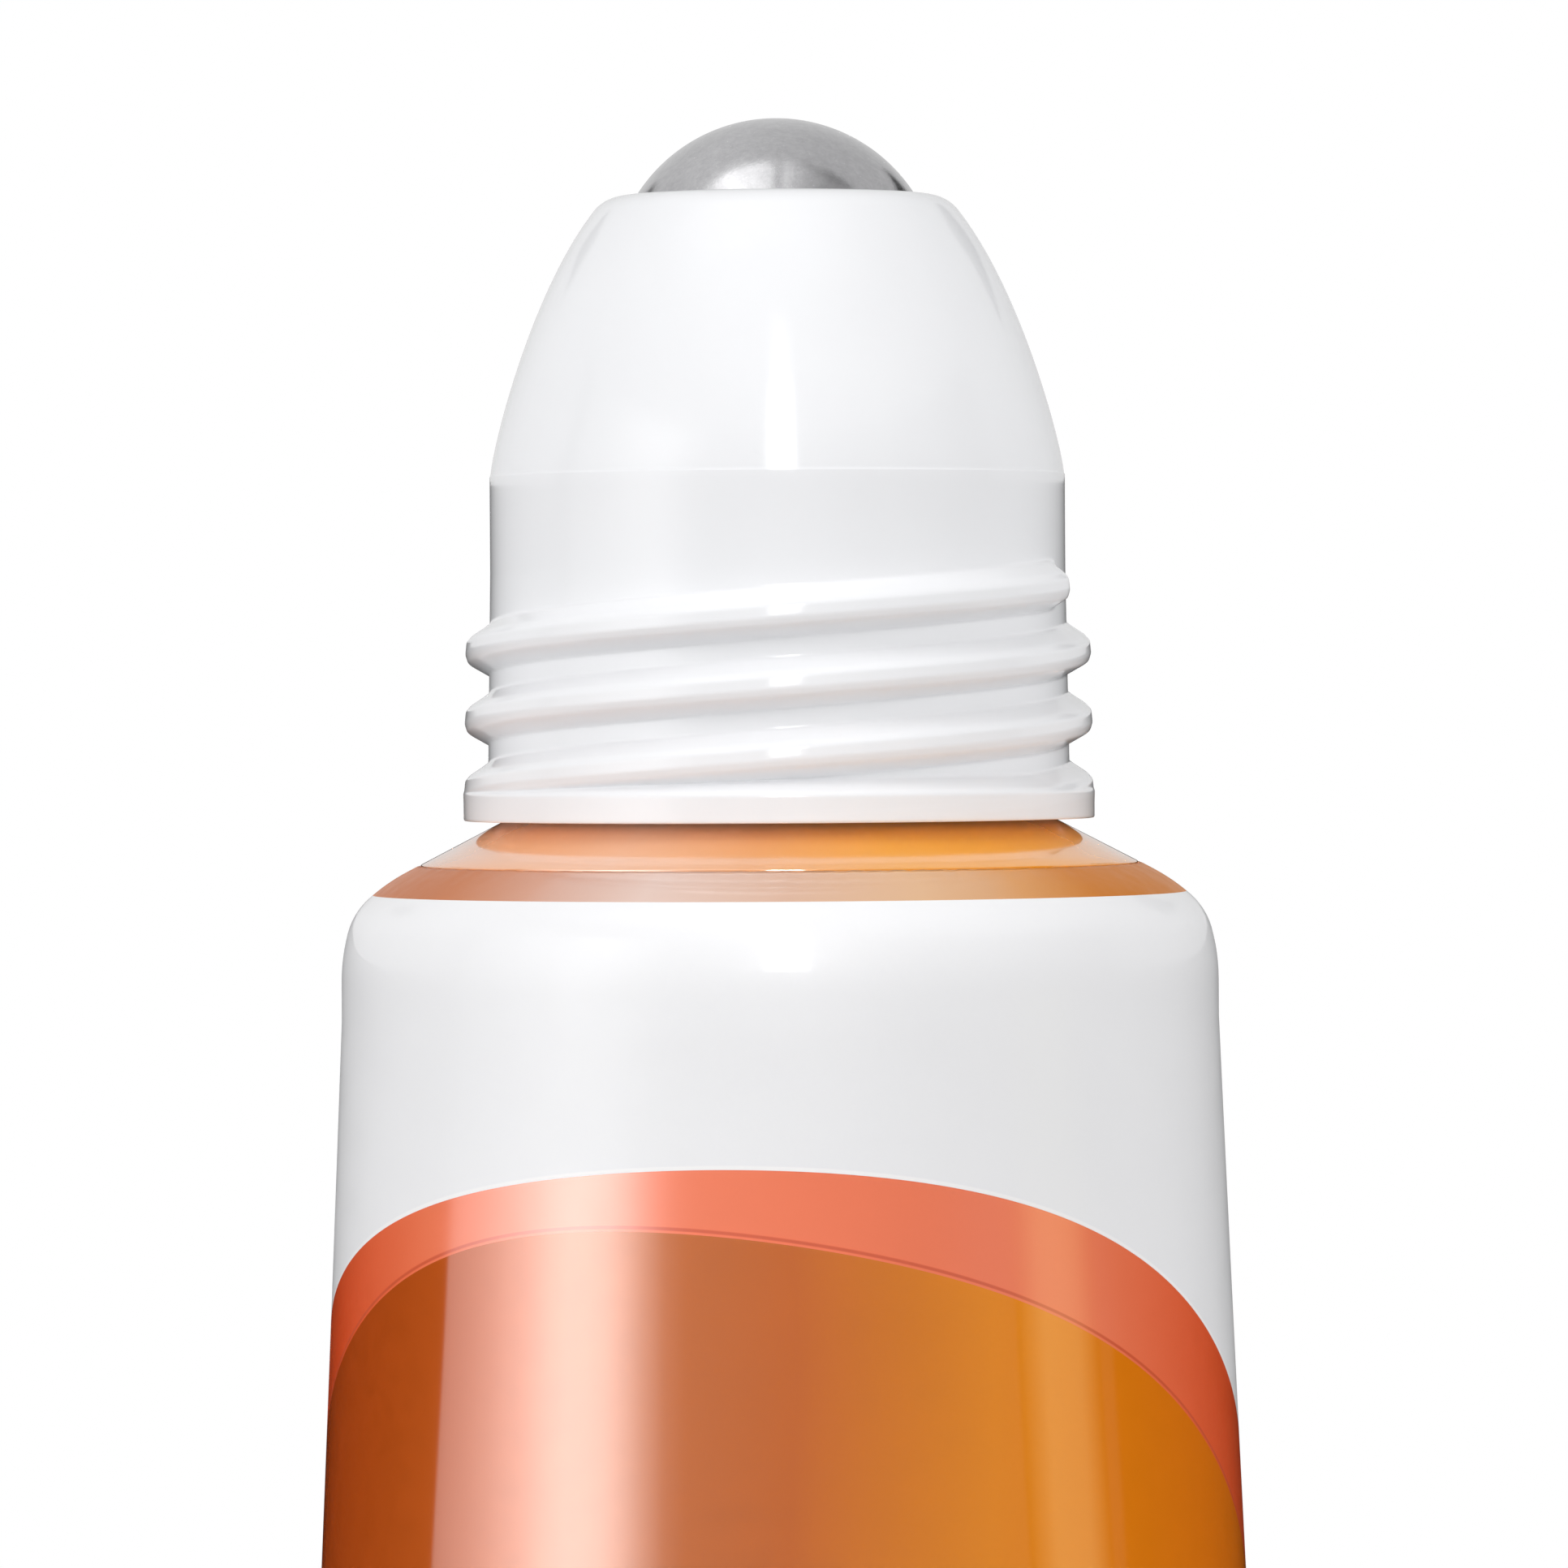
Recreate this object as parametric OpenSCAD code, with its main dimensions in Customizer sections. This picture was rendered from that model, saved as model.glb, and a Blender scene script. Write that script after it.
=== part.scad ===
// A slim squeeze tube with a steel roller ball at its top.
// Z runs up from the crimped tail to the ball. X runs along the crimp, and Y through its thickness.
// All lengths are in millimetres and all angles in degrees.

/* [Tube] */
// Diameter of the tube where it is round
tube_d = 19; // [18:0.5:24]
// Height from the tail to the foot of the shoulder
body_len = 93.6; // [75:0.1:120]
// Thickness of the tube's wall
wall = 0.45; // [0.35:0.05:0.6]
// Height of the flat crimp
crimp_h = 5; // [3:0.5:8]
// Length of the round stretch below the shoulder
round_len = 0.8; // [0.6:0.1:3]

/* [Shoulder] */
// Radius of the bend at the foot of the shoulder
foot_bend_r = 4.2; // [3.4:0.1:5]
// Lean from upright where the foot bend ends
foot_lean = 15; // [12:1:20]
// Radius of the tight corner
corner_r = 1.5; // [1.2:0.1:1.9]
// Lean from upright where the corner ends
corner_lean = 48; // [44:1:52]
// Radius of the bend that leads into the cone
top_bend_r = 4; // [3.3:0.1:4.8]
// Lean of the cone from upright
cone_lean = 62.6; // [58:0.2:66]
// How far the sleeve's folded edge reaches in along the cone, measured in radius
fold_reach = 0.26; // [0.15:0.01:0.4]
// Thickness of the sleeve's folded edge
fold_t = 0.12; // [0.08:0.01:0.2]
// Thickness of the moulded shoulder
head_wall = 1; // [0.8:0.05:1.3]
// Thickness of the head's short skirt inside the sleeve
skirt_t = 0.9; // [0.6:0.05:1.2]

/* [Neck] */
// Height of the neck above the shoulder's flat land
neck_h = 5.5; // [4.8:0.1:6.4]
// Thickness of the neck's wall
neck_wall = 1.08; // [0.8:0.02:1.3]
// Width of the flat land round the neck
land_w = 0.87; // [0.6:0.01:1.2]
// Height of the middle of the snap bead above the land
bead_up = 2.2; // [1.6:0.1:3]
// How far the snap bead stands out
bead_out = 0.22; // [0.1:0.01:0.3]
// Height of the snap bead at its foot
bead_foot = 0.8; // [0.5:0.05:1.2]
// Height of the snap bead's flat
bead_flat = 0.2; // [0.1:0.05:0.4]

/* [Housing] */
// Diameter of the housing's plain band
housing_d = 12.46; // [12:0.02:14]
// Height from the housing's lower edge to its rim
housing_h = 13.5; // [12.5:0.1:16]
// Height of the dome
dome_h = 6; // [5:0.1:7]
// Lean of the dome at its foot
dome_foot_lean = 4.8; // [3:0.2:7]
// Lean of the dome just below the rim
dome_top_lean = 38; // [34:1:42]
// Step at the parting line between the band and the dome
parting_step = 0.02; // [0.01:0.01:0.05]
// Radius of the rim's rounded edge
rim_round = 0.84; // [0.6:0.02:1]
// Width of the flat ring round the mouth
rim_flat = 0.2; // [0.1:0.02:0.4]
// Thickness of the housing's skirt
housing_wall = 1.03; // [0.9:0.01:1.3]
// How far the collar stands out from the thread's root
collar_out = 0.565; // [0.4:0.005:0.8]
// Height of the collar's upright edge
collar_edge = 0.45; // [0.3:0.05:0.7]
// Height of the whole collar, with its sloping top
collar_h = 0.95; // [0.8:0.05:1.3]

/* [Cap thread] */
// Distance from one thread ridge to the next
pitch = 1.5; // [1.3:0.05:1.8]
// Number of thread starts
starts = 2; // [1:1:3]
// How far the thread's root stands out from the plain band
root_step = 0.04; // [0.02:0.01:0.1]
// How much the root widens on its way down to the collar
root_draft = 0.03; // [0.02:0.01:0.06]
// How far the thread stands out from its root
thread_h = 0.53; // [0.4:0.01:0.6]
// Height of the thread's upper end above the housing's lower edge
thread_top = 4.92; // [4.2:0.01:5.4]
// How far the root runs on above the thread's upper end
root_over = 0.15; // [0.1:0.05:0.4]
// Direction of the first thread's upper end, as an angle from X
thread_start = -23; // [-180:1:180]

/* [Ball and its seat] */
// Diameter of the steel ball
ball_d = 7.14; // [6.8:0.02:7.4]
// How far the ball stands out of the rim
ball_show = 1.68; // [1.3:0.02:1.9]
// How far the ball can be pressed in
press = 0.5; // [0.2:0.05:0.6]
// Thickness of the seat below the ball
seat_t = 0.72; // [0.5:0.02:1]
// Height of the seat's dish above the bottom of the ball
dish_h = 0.65; // [0.4:0.05:0.9]
// Radius of the seat
seat_r = 2.9; // [2.7:0.05:3]
// Radius of the notches that let liquid past the seat
notch_r = 0.9; // [0.85:0.05:1]
// Height of the peg that centres the spring
peg_h = 0.5; // [0.3:0.05:0.8]

/* [Ball cup] */
// Thickness of the rubber washer on the neck
seal_t = 0.6; // [0.4:0.05:0.9]
// Thickness of the cup's flange
flange_t = 1; // [0.8:0.05:1.3]
// Thickness of the cup's barrel
cup_wall = 0.48; // [0.4:0.02:0.6]
// Thickness of the cup's floor
floor_t = 0.6; // [0.4:0.05:0.9]
// Radius of the feed hole in the cup's floor
feed_r = 1.1; // [0.8:0.05:1.3]
// How far the cup stops below the middle of the ball
cup_drop = 0.5; // [0.5:0.05:0.9]
// Depth of the wide bore that the ball moves in
ball_well = 2.1; // [1.8:0.05:2.3]

/* [Spring] */
// Length of the spring as fitted
spring_len = 3.7; // [3.2:0.05:4.2]
// Middle radius of the spring
spring_r = 1.85; // [1.75:0.01:2.2]
// Diameter of the spring's wire
wire_d = 0.35; // [0.25:0.01:0.4]
// Number of curls
curls = 4; // [3:1:4]

/* [Clearances] */
// Gap between welded or pressed faces
weld_gap = 0.03; // [0.02:0.01:0.05]
// Gap between the ball and its socket
ball_gap = 0.05; // [0.03:0.01:0.08]
// Gap between the ball and the dish of its seat
dish_gap = 0.03; // [0.02:0.01:0.05]
// Gap round the seat in its bore
seat_gap = 0.1; // [0.05:0.01:0.15]
// Gap between pieces that are pushed together by hand
fit_gap = 0.05; // [0.03:0.01:0.1]
// Gap round the neck and the flange in the skirt
skirt_gap = 0.12; // [0.08:0.01:0.2]
// Gap at each end of the spring
spring_gap = 0.02; // [0.01:0.01:0.05]
// Room round the spring in its bore
spring_room = 0.25; // [0.15:0.05:0.3]
// Gap under the seat when the ball is pressed right in
stop_gap = 0.05; // [0.03:0.01:0.1]
// Room between the ball and the wide bore of its cup
well_gap = 0.15; // [0.1:0.01:0.2]

/* [Hidden] */

// Counts of sides and steps
round_fn = 96;
sleeve_sides = 72;
body_steps = 14;
foot_steps = 2;
corner_steps = 4;
top_steps = 3;
dome_steps = 12;
rim_steps = 5;
socket_steps = 6;
thread_turn_steps = 36;
wire_sides = 6;
curl_steps = 8;
notches = 4;

// How far a cutting shape runs past what it cuts
overrun = 0.5;
// Chamfer on leading edges that are pushed into a bore
lead_in = 0.2;

// How the tube flattens from round to crimp
early_widening_share = 0.7;
cavity_end_share = 0.998;
ring_spacing_power = 1.8;
crimp_squareness = 10;
crimp_sharpness = 40;

// Handles of the dome's curve, as shares of its chord
dome_foot_share = 0.1;
dome_top_share = 0.365;

// Thread section from its lower foot to its upper foot, as shares of the pitch and of the thread's height
thread_shares = [
    [-0.42, -0.5],
    [-0.35, 0.12],
    [-0.24, 0.7],
    [-0.16, 0.93],
    [-0.05, 1],
    [0.17, 0.96],
    [0.26, 0.76],
    [0.4, 0.2],
    [0.5, -0.5]
];
thread_sunk_share = -0.5;
thread_end_shares = [0, 0.08, 0.3, 0.6, 1];
thread_ramp = 8;
thread_ramp_start_share = 0.3;

// Radii of the tube, the housing and the neck
tube_r = tube_d / 2;
inner_r = tube_r - wall;
housing_r = housing_d / 2;
root_r = housing_r + root_step;
collar_r = root_r + collar_out;
skirt_bore_r = housing_r - housing_wall;
neck_r = skirt_bore_r - skirt_gap;
neck_bore_r = neck_r - neck_wall;
land_r = neck_r + land_w;

// Outline of the shoulder, from the foot up, as radius, height and lean
function bend_to(p, r, from, to) =
    [p[0] + r * (cos(to) - cos(from)), p[1] + r * (sin(to) - sin(from)), to];
function bend(p, r, from, to, steps) =
    [for (i = [1 : steps]) bend_to(p, r, from, from + (to - from) * i / steps)];
function up_cone(p, reach) = [p[0] - reach, p[1] + reach / tan(cone_lean), cone_lean];
function inset(p, depth) = [p[0] - depth * cos(p[2]), p[1] - depth * sin(p[2])];
function reversed(list) = [for (i = [len(list) - 1 : -1 : 0]) list[i]];

shoulder_foot = [tube_r, body_len, 0];
foot_end = bend_to(shoulder_foot, foot_bend_r, 0, foot_lean);
corner_end = bend_to(foot_end, corner_r, foot_lean, corner_lean);
cone_foot = bend_to(corner_end, top_bend_r, corner_lean, cone_lean);
fold_edge = up_cone(cone_foot, fold_reach);
sleeve_path = concat(
    [shoulder_foot],
    bend(shoulder_foot, foot_bend_r, 0, foot_lean, foot_steps),
    bend(foot_end, corner_r, foot_lean, corner_lean, corner_steps),
    bend(corner_end, top_bend_r, corner_lean, cone_lean, top_steps),
    [fold_edge]
);
function sleeve_t(lean) = wall + (fold_t - wall) * lean / cone_lean;

// Heights, built up from the shoulder's land
land_z = up_cone(cone_foot, cone_foot[0] - land_r)[1];
neck_top = land_z + neck_h;
flange_z = neck_top + seal_t;
skirt_top = flange_z + flange_t;
rim_z = land_z + housing_h;
parting_z = rim_z - dome_h;
root_top = land_z + thread_top + pitch / 2 + root_over;
ball_r = ball_d / 2;
ball_z = rim_z + ball_show - ball_r;
seat_z = ball_z - ball_r - dish_gap - seat_t;
floor_z = seat_z - spring_len;
stop_z = seat_z - press - stop_gap;
cup_top = ball_z - cup_drop - fit_gap;
well_z = cup_top - ball_well;

// Radii round the ball
socket_r = ball_r + ball_gap;
mouth_r = sqrt(pow(socket_r, 2) - pow(rim_z - ball_z, 2));
well_r = ball_r + well_gap;
cup_r = well_r + cup_wall;
cup_bore_r = cup_r + fit_gap;
seat_bore_r = seat_r + seat_gap;
spring_bore_r = spring_r + wire_d / 2 + spring_room;
plug_r = neck_bore_r - fit_gap;

// Faces of a tube made of rings, which turn the right-hand way about the direction of travel
function tube_faces(rings, sides) = concat(
    [[for (i = [0 : sides - 1]) i]],
    [for (r = [0 : rings - 2], i = [0 : sides - 1])
        let (j = (i + 1) % sides, a = r * sides, b = a + sides)
        each [[a + i, b + i, b + j], [a + i, b + j, a + j]]],
    [[for (i = [sides - 1 : -1 : 0]) (rings - 1) * sides + i]]
);
function flat_points(rings) = [for (ring = rings) each ring];

// Tube body. The share runs from 0, where it is round, to 1 at the crimp, and the girth stays the same
flat_half_w = PI * inner_r / 2;
girth_power = ln(2) / ln(PI / 2);
round_z = body_len - round_len;
function half_w(share) =
    inner_r + (flat_half_w - inner_r) * share * (early_widening_share + (1 - early_widening_share) * share);
function half_d(share) =
    pow(max(0, pow(flat_half_w, girth_power) - pow(half_w(share), girth_power)), 1 / girth_power);
function squareness(share) = 2 + crimp_squareness * pow(share, crimp_sharpness);
function body_z(share) = crimp_h + (1 - share) * (round_z - crimp_h);
function body_share(i) = 1 - pow(i / body_steps, ring_spacing_power);
function bulge(value, power) = sign(value) * pow(abs(value), 2 / power);
function ring(a, b, power, z) = [
    for (i = [0 : sleeve_sides - 1])
        let (turn = 360 * i / sleeve_sides)
        [a * bulge(cos(turn), power), b * bulge(sin(turn), power), z]
];
function body_ring(share, t, z) = ring(half_w(share) + t, half_d(share) + t, squareness(share), z);
function round_ring(p) = ring(p[0], p[0], 2, p[1]);

outer_rings = concat(
    [body_ring(1, wall, 0)],
    [for (i = [0 : body_steps]) body_ring(body_share(i), wall, body_z(body_share(i)))],
    [for (p = sleeve_path) round_ring(p)]
);
inner_rings = concat(
    [for (p = reversed(sleeve_path)) round_ring(inset(p, sleeve_t(p[2])))],
    [for (i = [body_steps : -1 : 0])
        let (share = min(body_share(i), cavity_end_share))
        body_ring(share, 0, body_z(share))]
);
sleeve_rings = concat(outer_rings, inner_rings);

module tube_sleeve() {
    color([0.82, 0.45, 0.2])
        polyhedron(
            points = flat_points(sleeve_rings),
            faces = tube_faces(len(sleeve_rings), sleeve_sides),
            convexity = 6
        );
}

// Head. Its outside runs down the neck, over the land and cone, and under the sleeve's folded edge
bead_z = land_z + bead_up;
function bead_outline(r) = [
    [r, bead_z + bead_foot / 2],
    [r + bead_out, bead_z + bead_flat / 2],
    [r + bead_out, bead_z - bead_flat / 2],
    [r, bead_z - bead_foot / 2]
];
fold_stop = up_cone(fold_edge, weld_gap);
head_skirt_r = inner_r - weld_gap;
head_skirt_z = round_z + weld_gap;
head_inner_r = head_skirt_r - skirt_t;
under_land = inset([land_r, land_z, cone_lean], head_wall);
function under_cone_z(r) = under_land[1] + (under_land[0] - r) / tan(cone_lean);
head_outline = concat(
    [
        [neck_bore_r, neck_top],
        [neck_r - lead_in, neck_top],
        [neck_r, neck_top - lead_in]
    ],
    bead_outline(neck_r),
    [
        [neck_r, land_z],
        [land_r, land_z],
        [fold_stop[0], fold_stop[1]],
        inset(fold_stop, fold_t + weld_gap)
    ],
    [for (p = reversed(sleeve_path)) inset(p, sleeve_t(p[2]) + weld_gap)],
    [
        [head_skirt_r, head_skirt_z],
        [head_inner_r, head_skirt_z],
        [head_inner_r, under_cone_z(head_inner_r)],
        [neck_bore_r, under_cone_z(neck_bore_r)]
    ]
);

module tube_head() {
    color([0.83, 0.55, 0.33])
        rotate_extrude($fn = round_fn)
            polygon(head_outline);
}

// Rubber washer between the neck's end and the cup's flange
module neck_seal() {
    color([0.2, 0.2, 0.22])
        translate([0, 0, neck_top])
            difference() {
                cylinder(r = neck_r - lead_in, h = seal_t, $fn = round_fn);
                translate([0, 0, -overrun])
                    cylinder(r = neck_bore_r, h = seal_t + 2 * overrun, $fn = round_fn);
            }
}

// Dome of the housing, a cubic curve from the parting line to the rim's rounded edge
dome_foot = [housing_r - parting_step, parting_z];
dome_top = [
    mouth_r + rim_flat + rim_round * cos(dome_top_lean),
    rim_z - rim_round * (1 - sin(dome_top_lean))
];
dome_chord = norm(dome_top - dome_foot);
function rising(lean) = [-sin(lean), cos(lean)];
dome_foot_handle = dome_foot + dome_foot_share * dome_chord * rising(dome_foot_lean);
dome_top_handle = dome_top - dome_top_share * dome_chord * rising(dome_top_lean);
function dome_point(t) =
    pow(1 - t, 3) * dome_foot + 3 * t * pow(1 - t, 2) * dome_foot_handle
    + 3 * pow(t, 2) * (1 - t) * dome_top_handle + pow(t, 3) * dome_top;
function rim_point(lean) = [
    dome_top[0] + rim_round * (cos(lean) - cos(dome_top_lean)),
    dome_top[1] + rim_round * (sin(lean) - sin(dome_top_lean))
];
mouth_rise = asin((rim_z - ball_z) / socket_r);
function socket_point(rise) = [socket_r * cos(rise), ball_z + socket_r * sin(rise)];
collar_corner = (collar_h - collar_edge) / 4;
housing_outline = concat(
    [
        [skirt_bore_r + lead_in, land_z],
        [collar_r, land_z],
        [collar_r, land_z + collar_edge],
        [collar_r - collar_corner, land_z + collar_edge + collar_corner],
        [root_r + root_draft, land_z + collar_h],
        [root_r, root_top],
        [housing_r, root_top + root_step],
        [housing_r, parting_z]
    ],
    [for (i = [0 : dome_steps]) dome_point(i / dome_steps)],
    [for (i = [1 : rim_steps]) rim_point(dome_top_lean + (90 - dome_top_lean) * i / rim_steps)],
    [for (i = [0 : socket_steps]) socket_point(mouth_rise * (1 - i / socket_steps))],
    [
        [socket_r, ball_z - cup_drop],
        [cup_bore_r, ball_z - cup_drop],
        [cup_bore_r, skirt_top],
        [skirt_bore_r, skirt_top]
    ],
    bead_outline(skirt_bore_r),
    [[skirt_bore_r, land_z + lead_in]]
);

// Cap thread, which rises out of the band in a short blunt end and runs down into the collar
lead = pitch * starts;
thread_fall = 360 * thread_top / lead;
thread_steps = ceil((thread_fall - thread_ramp) * thread_turn_steps / 360);
thread_turns = concat(
    [for (share = thread_end_shares) thread_ramp * share],
    [for (i = [1 : thread_steps]) thread_ramp + (thread_fall - thread_ramp) * i / thread_steps]
);
function ramp(turn) =
    let (left = max(0, 1 - turn / thread_ramp))
    thread_ramp_start_share + (1 - thread_ramp_start_share) * sqrt(1 - pow(left, 2));
function thread_ring(turn) = [
    for (share = thread_shares)
        let (
            rise = thread_sunk_share + (share[1] - thread_sunk_share) * ramp(turn),
            r = root_r + thread_h * rise
        )
        [r * cos(-turn), r * sin(-turn), land_z + thread_top - lead * turn / 360 + pitch * share[0]]
];

module cap_thread() {
    polyhedron(
        points = flat_points([for (turn = thread_turns) thread_ring(turn)]),
        faces = tube_faces(len(thread_turns), len(thread_shares)),
        convexity = 6
    );
}

module roller_housing() {
    color([0.95, 0.95, 0.96])
        difference() {
            union() {
                rotate_extrude($fn = round_fn)
                    polygon(housing_outline);
                for (i = [0 : starts - 1])
                    rotate(thread_start + 360 * i / starts)
                        cap_thread();
            }
            translate([0, 0, land_z - 2 * pitch])
                cylinder(r = collar_r + overrun, h = 2 * pitch, $fn = round_fn);
        }
}

// Cup inside the housing, with a plug down into the neck and a barrel up round the ball.
// The ledge between its two lower bores stops the seat when the ball is pressed in
cup_outline = [
    [feed_r, floor_z - floor_t],
    [plug_r - lead_in, floor_z - floor_t],
    [plug_r, floor_z - floor_t + lead_in],
    [plug_r, flange_z],
    [skirt_bore_r - skirt_gap, flange_z],
    [skirt_bore_r - skirt_gap, skirt_top],
    [cup_r, skirt_top],
    [cup_r, cup_top],
    [well_r, cup_top],
    [well_r, well_z],
    [seat_bore_r, well_z],
    [seat_bore_r, stop_z],
    [spring_bore_r, stop_z],
    [spring_bore_r, floor_z],
    [feed_r, floor_z]
];

module ball_cup() {
    color([0.88, 0.88, 0.84])
        rotate_extrude($fn = round_fn)
            polygon(cup_outline);
}

// Spring between the cup's floor and the seat
spring_foot = floor_z + spring_gap + wire_d / 2;
spring_rise = spring_len - wire_d - 2 * spring_gap;
curl_pitch = spring_rise / curls;
function coil_point(i) =
    let (turn = 360 * i / curl_steps)
    [spring_r * cos(turn), spring_r * sin(turn), spring_foot + curl_pitch * i / curl_steps];
function wire_ring(i) = [
    for (k = [0 : wire_sides - 1])
        let (
            turn = 360 * i / curl_steps,
            round = 360 * k / wire_sides,
            out = wire_d / 2 * sin(round)
        )
        coil_point(i) + [out * cos(turn), out * sin(turn), wire_d / 2 * cos(round)]
];
coil_steps = curls * curl_steps;
least_gap = min([
    for (i = [0 : coil_steps], k = [0 : coil_steps])
        if (k - i > curl_steps / 2) norm(coil_point(k) - coil_point(i)) - wire_d
]);
echo(least_gap_in_spring = least_gap);

module ball_spring() {
    color([0.7, 0.7, 0.72])
        polyhedron(
            points = flat_points([for (i = [0 : coil_steps]) wire_ring(i)]),
            faces = tube_faces(coil_steps + 1, wire_sides),
            convexity = 8
        );
}

// Seat that the spring pushes up against the ball, with notches for the liquid
peg_r = spring_r - wire_d / 2 - seat_gap;
seat_top = ball_z - ball_r + dish_h;

module ball_seat() {
    color([0.9, 0.9, 0.9])
        difference() {
            union() {
                translate([0, 0, seat_z])
                    cylinder(r = seat_r, h = seat_top - seat_z, $fn = round_fn);
                translate([0, 0, seat_z - peg_h])
                    cylinder(r = peg_r, h = peg_h + seat_t / 2, $fn = round_fn);
            }
            translate([0, 0, ball_z])
                sphere(r = ball_r + dish_gap, $fn = round_fn);
            for (i = [0 : notches - 1])
                rotate(360 * i / notches)
                    translate([seat_r, 0, seat_z - overrun])
                        cylinder(r = notch_r, h = seat_top - seat_z + 2 * overrun, $fn = round_fn);
        }
}

// Steel ball
module roller_ball() {
    color([0.62, 0.62, 0.64])
        translate([0, 0, ball_z])
            sphere(d = ball_d, $fn = round_fn);
}

tube_sleeve();
tube_head();
neck_seal();
roller_housing();
ball_cup();
ball_spring();
ball_seat();
roller_ball();
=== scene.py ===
# %% [markdown]
# # A roll-on squeeze tube
# This lesson dresses a slim squeeze tube: a printed sleeve, a glossy moulded shoulder, a white
# threaded housing and a steel roller ball. The solids come from a CAD model that is already in
# place, so each new piece is worked out in the same frame, in millimetres, and scaled to metres at
# the end. The tube stands on its crimped tail, Z runs up, and the front looks along -Y.

# %% Load the frame
import bpy
import numpy as np
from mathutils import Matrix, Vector


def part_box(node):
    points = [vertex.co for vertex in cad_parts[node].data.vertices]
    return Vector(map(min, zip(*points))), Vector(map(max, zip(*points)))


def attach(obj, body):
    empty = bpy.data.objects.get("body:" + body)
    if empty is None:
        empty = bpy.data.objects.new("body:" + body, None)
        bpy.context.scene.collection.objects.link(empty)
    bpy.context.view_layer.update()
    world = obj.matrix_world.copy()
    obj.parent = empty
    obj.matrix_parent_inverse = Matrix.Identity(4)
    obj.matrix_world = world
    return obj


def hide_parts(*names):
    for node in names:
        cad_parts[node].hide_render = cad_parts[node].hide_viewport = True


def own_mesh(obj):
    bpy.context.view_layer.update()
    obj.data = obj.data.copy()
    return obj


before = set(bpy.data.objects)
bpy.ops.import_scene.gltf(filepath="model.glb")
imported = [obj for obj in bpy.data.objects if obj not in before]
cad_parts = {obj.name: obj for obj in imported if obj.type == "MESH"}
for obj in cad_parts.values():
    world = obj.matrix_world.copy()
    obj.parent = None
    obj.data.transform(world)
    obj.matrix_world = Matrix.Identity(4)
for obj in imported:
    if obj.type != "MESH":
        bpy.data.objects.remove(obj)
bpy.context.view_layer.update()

MM = 0.001
print("nodes:", sorted(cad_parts))

# %% [markdown]
# ## Heights and widths
# Everything hangs on a few heights of the CAD solids: the edge that the housing stands on, its rim,
# and the middle of the ball. They could be typed in, but read from the solids' boxes they stay
# right when the solids change. Widths and walls are the CAD model's named sizes. Only the thread,
# its root and the collar are set up to 0.15 mm closer to the photograph's outline.

# %% Sizes, in millimetres
housing_low, housing_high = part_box("roller_housing")
ball_low, ball_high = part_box("roller_ball")
land_z, rim_z = housing_low.z / MM, housing_high.z / MM
ball_r = (ball_high.z - ball_low.z) / 2 / MM
ball_z = (ball_high.z + ball_low.z) / 2 / MM

tube_r, wall, body_len, crimp_h, round_len = 9.5, 0.45, 93.6, 5.0, 0.8
foot_bend_r, foot_bend_lean, corner_r, corner_lean = 4.2, 15, 1.5, 48
top_bend_r, cone_lean, fold_reach, fold_t = 4.0, 62.6, 0.26, 0.12
housing_r, housing_wall, root_draft, parting_step = 6.23, 1.03, 0.07, 0.02
collar_out, collar_edge, collar_h = 0.605, 0.6, 0.95
dome_h, dome_top_lean, dome_foot_lean, rim_round, rim_flat = 6.0, 38.0, 4.8, 0.84, 0.2
pitch, starts, thread_h, thread_top, thread_start = 1.5, 2, 0.52, 4.965, -17.5
ball_gap, ball_well, cup_bore_r, skirt_h, bead_up, bead_out = 0.05, 0.5, 4.25, 7.1, 2.2, 0.22
neck_gap, neck_wall, neck_h, land_w, head_gap, head_wall, skirt_t = 0.12, 1.08, 5.5, 0.87, 0.03, 1.0, 0.9

lead, inner_r = pitch * starts, tube_r - wall
root_r, collar_r, skirt_bore_r = housing_r, housing_r + collar_out, housing_r - housing_wall
parting_z, root_top, bead_z = rim_z - dome_h, land_z + thread_top + pitch / 2 + 0.15, land_z + bead_up
print(f"the housing stands at {land_z:.2f} mm, its rim is at {rim_z:.2f} mm, the ball has r {ball_r:.2f} mm")

# %% [markdown]
# ## From arrays to a piece
# Each piece is a surface on a grid: a row is one trip round it, and four neighbouring points make a
# face. Modelling tools could build it step by step, but an array keeps a shape in one formula. A
# helper turns the faces outwards if the enclosed volume comes out negative, ties the piece to its
# body, hides the solid that it stands for, and where zones are given sets each face's material slot.

# %% Grids, poles and volume
def rad(degrees):
    """Degrees times pi over 180."""
    return np.radians(degrees)


def grid_faces(rows, columns, closed=False):
    """Faces of a grid that is closed round each row, and also from the last row to the first if asked:
    a point, its right neighbour, and the two points above them."""
    i, j = np.meshgrid(np.arange(rows if closed else rows - 1), np.arange(columns), indexing="ij")
    right, up = (j + 1) % columns, (i + 1) % rows
    quads = np.stack([i * columns + j, i * columns + right, up * columns + right, up * columns + j], axis=-1)
    return quads.reshape(-1, 4)


def fan_faces(ring, middle):
    """A pole or an end: triangles from each edge of the ring to one middle point."""
    return np.stack([ring, np.roll(ring, -1), np.full_like(ring, middle)], axis=-1)


def enclosed_volume(points, faces):
    """A sixth of the sum of the triple products of each face's corners, taken as triangles."""
    total = 0.0
    for block in faces:
        for k in range(1, block.shape[1] - 1):
            a, b, c = points[block[:, 0]], points[block[:, k]], points[block[:, k + 1]]
            total += np.einsum("ij,ij->i", a, np.cross(b, c)).sum() / 6
    return total


# %% A piece in the frame
def in_scene(name, data):
    """A new object at the origin, unturned."""
    thing = bpy.data.objects.new(name, data)
    bpy.context.scene.collection.objects.link(thing)
    return thing


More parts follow.
